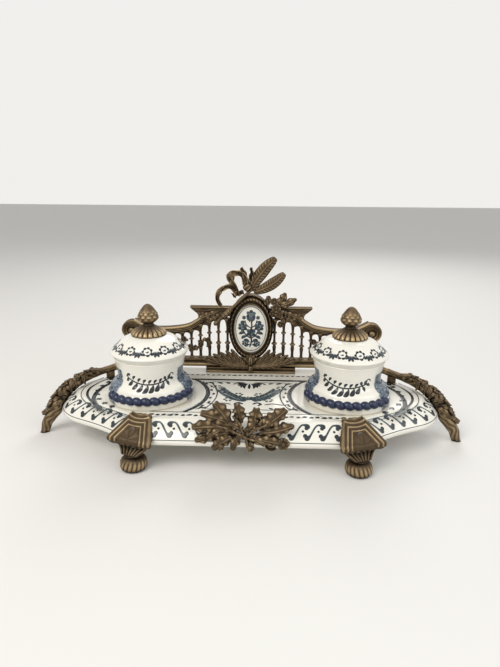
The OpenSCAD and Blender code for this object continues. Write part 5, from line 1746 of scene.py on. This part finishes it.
    def flowers(self, material: bpy.types.Material) -> None:
        """Makes the flowers and leaves on the right shoulder of the frame."""
        cast = Casting(upright(self.front + 0.0012))
        base = np.array([0.021, self.centre + 0.021])
        for spine, width in (([(2, 0), (7, 6), (10, 12.5)], 3.9), ([(3, -1), (12, 2.5), (20, 7)], 3.9),
                             ([(-5, 3), (-5.4, 6.5), (-4.5, 9.5)], 2.6),
                             ([(5, -4), (9, -6), (12.5, -6.5)], 2.2),
                             ([(3, -8), (8, -12), (8, -17)], 2.2)):
            cast.leaf([base + np.array(p) * MM for p in spine], width * MM, 0.0014, 0.0022, lobes=3,
                      cut=0.26, rise=(0.0, 0.0010), curl=0.0008)
        for k, (x, z, size) in enumerate([(-6, 4, 3.4), (0, 4, 3.6), (2, -2, 4.2), (4.5, -7, 3.6),
                                          (-1, -7, 3.2), (6, -17, 3)]):
            cast.flower(tuple(base + np.array([x, z]) * MM), size * MM, 5 + k % 2, 0.0014, 0.5 * k)
        cast.build("gallery_flowers_cast", material, "gallery_flowers")

    def garland(self, side: str, points: Any, material: bpy.types.Material) -> None:
        """Makes a garland over an arcade: a stem with leaves, and flowers and berries by turns."""
        cast = Casting(upright(self.y - self.panel / 2))
        path = curve([(x * MM, self.sill + z * MM) for x, z in points], 4)
        cast.rod(path[::2], 0.0012, 0.0010, 10, bark=0.12)
        t = tangents(path)
        for k in range(1, len(path) - 1, 2):
            out = np.array([-t[k][1], t[k][0]]) * (1 if k % 4 == 1 else -1)
            tip = path[k] + out * 0.0042 + t[k] * 0.0016
            cast.leaf([path[k], (path[k] + tip) / 2 + t[k] * 0.0005, tip], 0.0014, 0.0008, 0.0012, ribs=3,
                      rise=(0.0010, 0.0018))
        for k in range(1, len(path) - 1, 3):
            if (k // 3) % 2:
                cast.bead(tuple(path[k]), 0.0017, 0.0022, 5)
            else:
                cast.flower(tuple(path[k]), 0.0027, 5, 0.0016, 0.4 * k)
        cast.build(f"garland_cast_{side}", material, f"garland_{side}")

    def plaque(self, glaze: bpy.types.Material, ink: bpy.types.Material) -> None:
        """Makes the domed oval plaque and paints a sprig of flowers in a ruled border."""
        y0, rise = self.y - self.rail_deep / 2 + 0.0012, 0.0011
        wide, tall = self.picture
        z0 = self.centre + self.drop

        def onto(flat: Array) -> Tuple[Array, Array]:
            """Maps the drawing (x, z) onto the dome."""
            reach = (flat[:, 0] / wide) ** 2 + (flat[:, 1] / tall) ** 2
            y = y0 - rise * np.clip(1 - reach, 0, 1)
            normal = np.stack([2 * rise * flat[:, 0] / wide**2, -np.ones(len(flat)),
                               2 * rise * flat[:, 1] / tall**2], axis=-1)
            return np.stack([flat[:, 0], y, z0 + flat[:, 1]], axis=-1), unit(normal)

        a = np.linspace(0, TAU, 96, endpoint=False)
        r = np.array([0.002, 0.2, 0.4, 0.6, 0.8, 0.93, 1.0])[:, None]
        flat = np.stack([wide * r * np.cos(a), tall * r * np.sin(a)], axis=-1)
        face = onto(flat.reshape(-1, 2))[0].reshape(flat.shape[:2] + (3,))
        rim = np.stack([wide * np.cos(a), np.full(96, y0 + 0.003), z0 + tall * np.sin(a)], axis=-1)
        hub = rim.copy()
        hub[:, 0] *= 0.02
        hub[:, 2] = z0 + (rim[:, 2] - z0) * 0.02
        shell = Shell()
        shell.grid(np.concatenate([face, rim[None], hub[None]]))
        shell.cast("plaque_glaze", glaze, "plaque", "base", "painted_glaze")
        brush = Brush(onto)
        border = np.stack([0.88 * wide * np.cos(a), 0.90 * tall * np.sin(a)], axis=-1)
        brush.ring(border, 0.00028, 0.7)
        self.sprig(brush)
        brush.build("plaque_painting", "base", ink)

    def sprig(self, brush: Brush) -> None:
        """Paints a standing sprig: a bowed stem, three open flowers, buds and paired leaves."""
        stem = [(-1.0, -17.5), (0.6, -11.0), (-0.8, -4.0), (0.8, 3.0), (0.0, 9.5)]
        brush.line(np.array(stem) * MM, 0.0007, 8, 0.8)
        for side in (-1.0, 1.0):
            brush.line(np.array([(0.2, -9.0), (side * 4.5, -5.5), (side * 7.5, -0.5)]) * MM, 0.0006, 8, 0.7)
            brush.line(np.array([(0.0, 1.0), (side * 4.0, 4.0), (side * 5.6, 8.5)]) * MM, 0.0005, 8, 0.7)
            for x, z, to_x, to_z in ((1.2, -13.0, 6.6, -10.6), (0.8, -15.0, 5.2, -17.2),
                                     (3.0, -7.2, 8.6, -9.4), (5.4, -4.4, 11.0, -5.0),
                                     (2.6, 2.6, 7.8, 1.2), (1.0, -4.5, 4.0, -0.6), (4.8, 6.0, 9.6, 5.6),
                                     (1.2, 6.6, 4.0, 10.6)):
                brush.dab((side * x * MM, z * MM), (side * to_x * MM, to_z * MM), 0.0017, 0.18 * side, 0.55)
            brush.dot((side * 6.4 * MM, 10.8 * MM), 0.0018, 0.4)
        for x, z, size in ((0.0, 13.4, 4.6), (-7.6, 2.0, 4.4), (7.6, 2.0, 4.4), (0.2, -3.6, 4.2),
                           (-5.2, -13.6, 3.2), (5.6, -14.0, 3.2)):
            for k in range(6):
                a = TAU * k / 6 + 0.3
                spot = (x + size * math.cos(a), z + size * math.sin(a))
                root = ((x + 0.9 * math.cos(a)) * MM, (z + 0.9 * math.sin(a)) * MM)
                brush.dab(root, (spot[0] * MM, spot[1] * MM), 0.00044 * size, 0.1, 0.2 + 0.5 * (k % 2))
            brush.dot((x * MM, z * MM), 0.0009, 0.95)


@dataclass
class Arm:
    """A branch arm: a moulded bar at the gallery, bark from the tray's corner on, and wrapped leaves."""

    side: str
    sign: float
    tray: Tray
    gallery: Gallery
    reach: float = 0.020
    girth: Tuple[Tuple[float, float], ...] = ((0, 3.7), (0.3, 3.0), (0.45, 3.2), (0.62, 4.2), (0.78, 5.0),
                                              (0.9, 4.6), (1, 3.0))
    boss: float = 0.0038

    def route(self) -> Array:
        """Centre line from the gallery's base rail down to the table."""
        half, rail, y = self.tray.length / 2, self.gallery.rail_half, self.gallery.y
        top, lip = self.tray.top, self.tray.length / 2 + self.tray.band
        band = self.tray.brink
        low = self.gallery.foot + self.gallery.plinth_high
        return curve([(rail, y, low + 0.0042), (rail + 0.003, y - 0.001, low + 0.0044),
                      (half - 0.031, 0.042, top + 0.0086), (half - 0.021, 0.031, top + 0.0082),
                      (half - 0.011, 0.020, top + 0.0074), (half - 0.003, 0.0115, top + 0.0059),
                      (half + 0.004, 0.004, top + 0.0032), (half + 0.010, -0.002, top - 0.001),
                      (lip, -0.0065, top - 0.0065), (lip + 0.0054, -0.0095, band - 0.0055),
                      (lip + self.reach * 0.6, -0.011, 0.011),
                      (lip + self.reach - 0.003, -0.0117, -0.003)], 14)

    def radius(self, share: Array) -> Array:
        """Radius at a share of the route."""
        knots = np.array(self.girth)
        return np.interp(share, knots[:, 0], knots[:, 1] * MM)

    def branch(self, material: bpy.types.Material) -> None:
        """Builds the branch: a grooved bar that turns into furrowed, knotted bark, and its screw boss."""
        path = self.route()
        share = np.linspace(0, 1, len(path))
        sides = 40
        grid = tube(path, self.radius(share), sides)
        a, s = np.linspace(0, TAU, sides, endpoint=False)[None], share[:, None]
        bark = np.clip((s - 0.26) / 0.12, 0, 1)
        furrow = np.abs(np.sin(3.5 * a + 1.6 * np.sin(30 * s) + 0.8 * np.sin(71 * s))) ** 0.6
        knot = np.sin(52 * s + 2 * a) * np.sin(37 * s - 3 * a + 1)
        grooves = np.abs(np.cos(4 * a)) ** 0.5
        collar = np.exp(-(((s - 0.765) / 0.010) ** 2)) + 0.8 * np.exp(-(((s - 0.27) / 0.006) ** 2))
        grow = 1 + bark * (0.10 * (furrow - 0.6) + 0.06 * knot)
        grow = grow + (1 - bark) * 0.10 * (grooves - 0.75) + 0.14 * collar
        grid = path[:, None] + (grid - path[:, None]) * grow[..., None]
        grid[..., 2] = np.maximum(grid[..., 2], 0.0)
        shell = Shell()
        shell.grid(grid, 0.1 + 0.55 * np.clip(bark * furrow + (1 - bark) * grooves, 0, 1) + 0.3 * collar)
        spot = path[10 * 14 // 3]
        shell.grid(lathe(np.array([[self.boss, self.tray.top + 0.0001],
                                   [self.boss, self.tray.top + 0.006]]), tuple(spot[:2]), 32))
        if self.sign < 0:
            shell.mirror(0)
        shell.cast(f"arm_branch_{self.side}", material, f"arm_{self.side}")

    def wrap(self, flat: Array, lift: Array) -> Array:
        """Maps (distance along, distance round from the top) and a height onto the bark."""
        path = self.route()
        side, over = carried(path)
        share = np.linspace(0, 1, len(path))
        s = np.clip(flat[..., 0] / self.run, 0, 1)
        r = self.radius(s)
        a = flat[..., 1] / r
        centre, right, up = (
            np.stack([np.interp(s, share, v[:, k]) for k in range(3)], axis=-1) for v in (path, side, over)
        )
        out = np.cos(a)[..., None] * unit(up) - np.sin(a)[..., None] * unit(right)
        point = centre + out * (r + lift)[..., None]
        point[..., 2] = np.maximum(point[..., 2], 0.0004)
        return point

    @property
    def run(self) -> float:
        """Length of the route."""
        return float(np.linalg.norm(np.diff(self.route(), axis=0), axis=1).sum())

    def foliage(self, material: bpy.types.Material) -> None:
        """Wraps lobed leaves and berries round the branch."""
        run = self.run
        cast = Casting(self.wrap)
        for k in range(30):
            at = (0.385 + 0.0165 * k) * run
            turn = math.radians((-62, 48, -8, 80, -38, 22)[k % 6] + 9 * math.sin(2.3 * k))
            r = float(self.radius(np.array(at / run)))
            long = 0.0056 + 0.0019 * math.sin(1.7 * k)
            veer = 0.0040 * math.sin(2.9 * k + 0.5)
            root = np.array([at - long, turn * r - veer])
            tip = np.array([at + long, turn * r + veer])
            bend = (root + tip) / 2 + np.array([0.0, 0.0012 * (-1) ** k])
            cast.leaf([root, bend, tip], 0.0027 + 0.0007 * math.cos(2.1 * k), 0.0011, 0.0020,
                      lobes=2 + k % 2, cut=0.40, rise=(0.0, 0.0016 + 0.0010 * math.sin(3.1 * k)),
                      curl=0.0016, wave=0.0006)
        for k in range(15):
            at = (0.41 + 0.0285 * k) * run
            turn = math.radians((20, -50, 62, -12, 38, -75, 5)[k % 7])
            r = float(self.radius(np.array(at / run)))
            cast.bead((at, turn * r), 0.0021 + 0.0003 * math.sin(5 * k), 0.0016, 0 if k % 3 else 6)
        if self.sign < 0:
            cast.shell.mirror(0)
        cast.build(f"arm_leaves_{self.side}", material, f"arm_foliage_{self.side}")


@dataclass
class Foot:
    """A bracket on the tray's rounded corner, and the bun foot under it."""

    name: str
    sign: float
    back: bool
    tray: Tray
    out: float = 0.0044
    top_half: float = 0.009
    wide: float = 0.018
    neck: float = 0.0064
    bun: float = 0.0103
    bun_high: float = 0.0135

    def place(self, points: Array) -> Array:
        """Carries points from the corner's own frame to the stand, where -Y is outwards from the tray."""
        turn = math.radians(self.tray.corner_turn / 2)
        c, s = math.cos(turn), math.sin(turn)
        x = points[..., 0] * c - points[..., 1] * s + self.tray.corner_at[0]
        y = points[..., 0] * s + points[..., 1] * c - self.tray.corner_at[1]
        return np.stack([x, y, points[..., 2]], axis=-1)

    def settle(self, shell: Shell) -> None:
        """Mirrors the finished shell to this foot's corner."""
        if self.sign < 0:
            shell.mirror(0)
        if self.back:
            shell.mirror(1)

    def bracket(self, material: bpy.types.Material) -> None:
        """Builds the bracket: stepped bands round a palmette, and a fluted neck that draws in below."""
        r0, edge = self.tray.corner, self.tray.brink + 0.0005
        u, low, h, top = r0 + self.tray.band + self.out, self.tray.low, self.bun_high, self.tray.top
        bun = r0 + self.tray.band - 0.002
        outer = np.vstack([
            np.linspace([r0 - 0.002, top + 0.0008], [r0 + 0.001, top + 0.0008], 5)[:-1],
            np.linspace([r0 + 0.001, top + 0.0008], [u - 0.0004, edge + 0.0002], 40)[:-1],
            np.linspace([u, edge - 0.0002], [u, edge - 0.0026], 6)[:-1],
            curve([(u, edge - 0.0026), (u - 0.001, edge - 0.0046), (u - 0.005, (edge + h) / 2 - 0.0015),
                   (bun + 0.0064, h)], 10),
            np.linspace([bun + 0.0064, h], [bun - 0.0064, h], 5)[1:],
        ])
        lip = r0 + self.tray.band
        steps = np.linspace(0, 1, len(outer))
        knots = np.array([[0, r0 - 0.002, top + 0.0001], [0.10, r0 + 0.0004, top + 0.0001],
                          [0.60, lip + 0.0001, edge - 0.0012], [0.70, lip + 0.0001, low],
                          [0.80, lip - 0.006, low - 0.0001], [0.92, bun - 0.0085, low - 0.0002],
                          [1.0, bun - 0.0064, h + 0.0004]])
        inner = np.stack([np.interp(steps, knots[:, 0], knots[:, k]) for k in (1, 2)], axis=-1)
        z = outer[:, 1]
        half = np.interp(z, [h, (edge - 0.0034 + h) / 2 + 0.001, edge - 0.0034, edge, top + 0.001],
                         [self.neck, self.wide * 0.76, self.wide, self.wide, self.top_half])[:, None]
        v = np.linspace(-1, 1, 97)[None]
        x = half * v
        dip = 0.0028 * (1 - v**2)
        down = distances(outer)[:, None] - 0.003
        border = np.minimum((half - np.abs(x)) * 0.85, down - dip + 0.0004)
        slope = np.clip((z[:, None] - edge + 0.0032) / 0.0012, 0, 1)
        bands = (0.5 + 0.5 * np.cos(TAU * border / 0.0031)) * np.clip((0.0080 - border) / 0.0012, 0, 1)
        rise = np.clip(1 - border / 0.0085, 0, 1) * 0.0012
        rooted = z[:, None] - edge - 0.0004
        reach = np.hypot(x, rooted)
        fan = np.abs(np.cos(3.6 * np.arctan2(x, np.maximum(rooted, 1e-5)))) ** 0.8
        spread = np.clip((0.0085 - reach) / 0.0012, 0, 1) * np.clip((border - 0.0076) / 0.0008, 0, 1)
        under = np.clip((edge - 0.0030 - z[:, None]) / 0.0010, 0, 1) * (z[:, None] > h + 0.0002)
        flutes = np.abs(np.cos(3.5 * np.pi * v)) ** 0.7
        relief = slope * (rise + 0.0009 * bands + 0.0006 * fan * spread) + 0.0010 * under * (flutes - 0.5)
        side = np.clip((1 - np.abs(v)) * 14, 0, 1) ** 0.5
        relief = relief * side - 0.0006 * (1 - side)
        t = tangents(outer)
        normal = np.stack([-t[:, 1], t[:, 0]], axis=-1)
        normal = np.where(((outer - inner) * normal).sum(axis=1, keepdims=True) < 0, -normal, normal)
        face = outer[:, None] + normal[:, None] * relief[..., None]
        back = np.broadcast_to(inner[:, None], face.shape)
        front = np.stack([x + 0 * face[..., 0], -face[..., 0], face[..., 1]], axis=-1)
        rear = np.stack([x * 0.97 + 0 * face[..., 0], -back[..., 0], back[..., 1]], axis=-1)
        tone = 0.12 + 0.62 * np.clip(slope * (bands + 0.4 * fan * spread) + under * flutes * 0.6, 0, 1)
        shell = Shell()
        shell.sheet(self.place(front)[:, ::-1], self.place(rear)[:, ::-1], tone[:, ::-1])
        self.settle(shell)
        shell.cast(f"bracket_cast_{self.name}", material, f"bracket_{self.name}")

    def bun_foot(self, material: bpy.types.Material) -> None:
        """Builds the bun: a flattened gadrooned ball under a ringed neck."""
        r, h = self.bun, self.bun_high
        profile = curve([(BORE, 0), (r * 0.60, 0), (r * 0.78, 0.0003), (r * 0.93, 0.0016), (r, h * 0.33),
                         (r * 0.95, h * 0.54), (r * 0.8, h * 0.70), (0.0056, h * 0.80),
                         (0.0052, h * 0.84), (0.0066, h * 0.88), (0.0067, h * 0.92), (0.0060, h * 0.95),
                         (0.0064, h), (BORE, h)], 6)
        profile = np.maximum(profile, [BORE, 0.0])
        a = np.linspace(0, TAU, 192, endpoint=False)[None]
        grid = lathe(profile, (0.0, 0.0), 192)
        belly = np.exp(-(((profile[:, 1:] - h * 0.40) / (h * 0.30)) ** 2)) * (profile[:, :1] > 0.0050)
        lobes = np.abs(np.cos(9 * a + 3 * profile[:, 1:] / h)) ** 0.7
        grid[..., :2] *= (1 - 0.075 * belly * (1 - lobes))[..., None]
        grid[..., 1] -= self.tray.corner + self.tray.band - 0.002
        shell = Shell()
        shell.grid(self.place(grid), 0.15 + 0.7 * belly * lobes)
        self.settle(shell)
        shell.cast(f"bun_cast_{self.name}", material, f"bun_{self.name}")


@dataclass
class FrontSpray:
    """Spray of oak leaves, acorns and a rosette on the middle of the tray's front edge."""

    tray: Tray
    half: float = 0.038
    tall: float = 0.031

    def spot(self, x: float, z: float) -> Array:
        """Place in the drawing, in millimetres from the spray's middle."""
        wide, high = self.half / 0.038, self.tall / 0.031
        return np.array([x * wide * MM, self.tray.low - 0.0015 + (0.014 + z * MM) * high])

    def build(self, material: bpy.types.Material) -> None:
        """Casts the leaves from the back ones to the front ones, then acorns, stems and flowers."""
        cast = Casting(upright(-(self.tray.depth / 2 + self.tray.band - 0.0010)))
        leaves = [
            (-6, 4, 168, 33, 6.4, 1.4, 5), (-8, 1, 184, 30, 5.6, 0.6, 5), (-10, 7, 148, 24, 5.6, 1.2, 3),
            (-12, 8, 112, 19, 5.8, 1.8, 3), (-4, 8, 88, 15, 5.0, 1.0, 3), (4, 5, 64, 16, 5.4, 1.6, 3),
            (8, 5, 24, 26, 6.2, 1.8, 4), (10, 1, 2, 25, 5.4, 1.0, 4), (8, -3, -22, 19, 5.0, 1.4, 3),
            (-10, -3, 204, 17, 5.4, 1.8, 3), (2, -2, -86, 12, 3.6, 1.2, 2), (-2, 3, 140, 12, 4.0, 2.4, 2),
            (0, 2, 40, 13, 4.0, 2.4, 2), (-4, -1, 232, 13, 4.0, 2.2, 2), (5, -1, -48, 12, 3.8, 2.2, 2),
            (-16, 4, 200, 12, 3.6, 2.2, 2), (14, 4, 52, 12, 3.8, 2.2, 2),
        ]
        for x, z, turn, long, width, depth, lobes in leaves:
            s = np.linspace(0, 1, 5)
            a = np.radians(turn + 12 * s)
            spine = self.spot(x, z) + (long * MM * s)[:, None] * np.stack([np.cos(a), np.sin(a)], axis=-1)
            cast.leaf(spine, width * MM, 0.0018, 0.0020, lobes=lobes, cut=0.34, blunt=0.5, wave=0.0007,
                      rise=((depth - 0.7) * MM, (depth - 0.4) * MM), curl=0.0005)
        stems = [[(-24, 8), (-10, 3), (2, -3), (20, -8)], [(-2, 1), (-4, 8), (-9, 14)],
                 [(2, 0), (8, 5), (20, 9)], [(0, -2), (1, -7), (2, -11)]]
        for stem in stems:
            cast.rod([self.spot(*p) for p in stem], [0.0008, 0.0012, 0.0012, 0.0007], 0.0030, 12, bark=0.08)
        for x, z, turn, size in ((-17, -8.0, 250, 3.0), (-29, -3.0, 190, 2.6), (10, 7.5, 70, 2.6),
                                 (3, -9, 265, 2.6), (-6, 9, 120, 2.2)):
            cast.acorn(tuple(self.spot(x, z)), turn, size * MM, 0.0026)
        turns = np.linspace(0.4, 5.6, 9)
        ring = [self.spot(19 + 3.6 * math.cos(q), -8.5 + 3.0 * math.sin(q)) for q in turns]
        cast.ribbon(ring, (0.0013, 0.0016), 0.0022, 0.0016, (20, -20))
        cast.flower(tuple(self.spot(27.5, -7.5)), 0.0046, 6, 0.0020)
        cast.flower(tuple(self.spot(1.5, 1.0)), 0.0040, 5, 0.0026, 0.6)
        cast.build("front_spray_cast", material, "front_spray")


def main() -> None:
    """Builds the stand's pieces in order."""
    logging.basicConfig(level=logging.INFO, format="%(message)s")
    bronze, glaze, ink, iron = Bronze().make(), Glaze().make(), Ink().make(), Iron().make()
    studio = Studio()
    studio.camera()
    studio.stage()
    slots = {row["node"]: row["material_slot"] for row in frame["record"]["subparts"]}
    finishes = {"painted_glaze": glaze, "liner_glaze": glaze, "bronze": bronze, "iron": iron}
    for node, piece in frame["nodes"].items():
        piece.data.materials.clear()
        piece.data.materials.append(finishes[slots[node]])
    tray = Tray()
    tray.surface(glaze)
    painting = TrayPainting(tray)
    painting.top(ink)
    painting.band(ink)
    for side, sign in SIDES.items():
        pot = Pot(side, sign)
        sponged = SpongedGlaze(
            name=f"sponged_glaze_{side}", centre=pot.centre, turn=-sign * pot.facing,
            low=pot.base + 0.001, high=pot.mouth - 0.0055,
        )
        pot.body(sponged.make())
        pot.moulding(Rope().make())
        pot.sprig(ink)
        lid = Lid(side, sign)
        lid.body(glaze)
        lid.painting(ink)
        lid.calyx(bronze)
        lid.finial(bronze)
    gallery = Gallery()
    gallery.base(bronze)
    gallery.frame(bronze)
    gallery.plaque(glaze, ink)
    gallery.palms(bronze)
    gallery.arrow(bronze)
    gallery.bow(bronze)
    gallery.flowers(bronze)
    gallery.garland("left", ((-63, 20), (-61, 13), (-54, 8.5), (-48, 12), (-43, 19), (-38, 14)), bronze)
    gallery.garland("right", ((58, 19), (60, 12), (66, 8.5), (72, 11.5), (77, 16)), bronze)
    FrontSpray(tray).build(bronze)
    for side, sign in SIDES.items():
        gallery.side(side, sign, bronze)
        arm = Arm(side, sign, tray, gallery)
        arm.branch(bronze)
        arm.foliage(bronze)
        for end, back in (("front", False), ("rear", True)):
            foot = Foot(f"{end}_{side}", sign, back, tray)
            foot.bracket(bronze)
            foot.bun_foot(bronze)


if __name__ == "__main__":
    main()
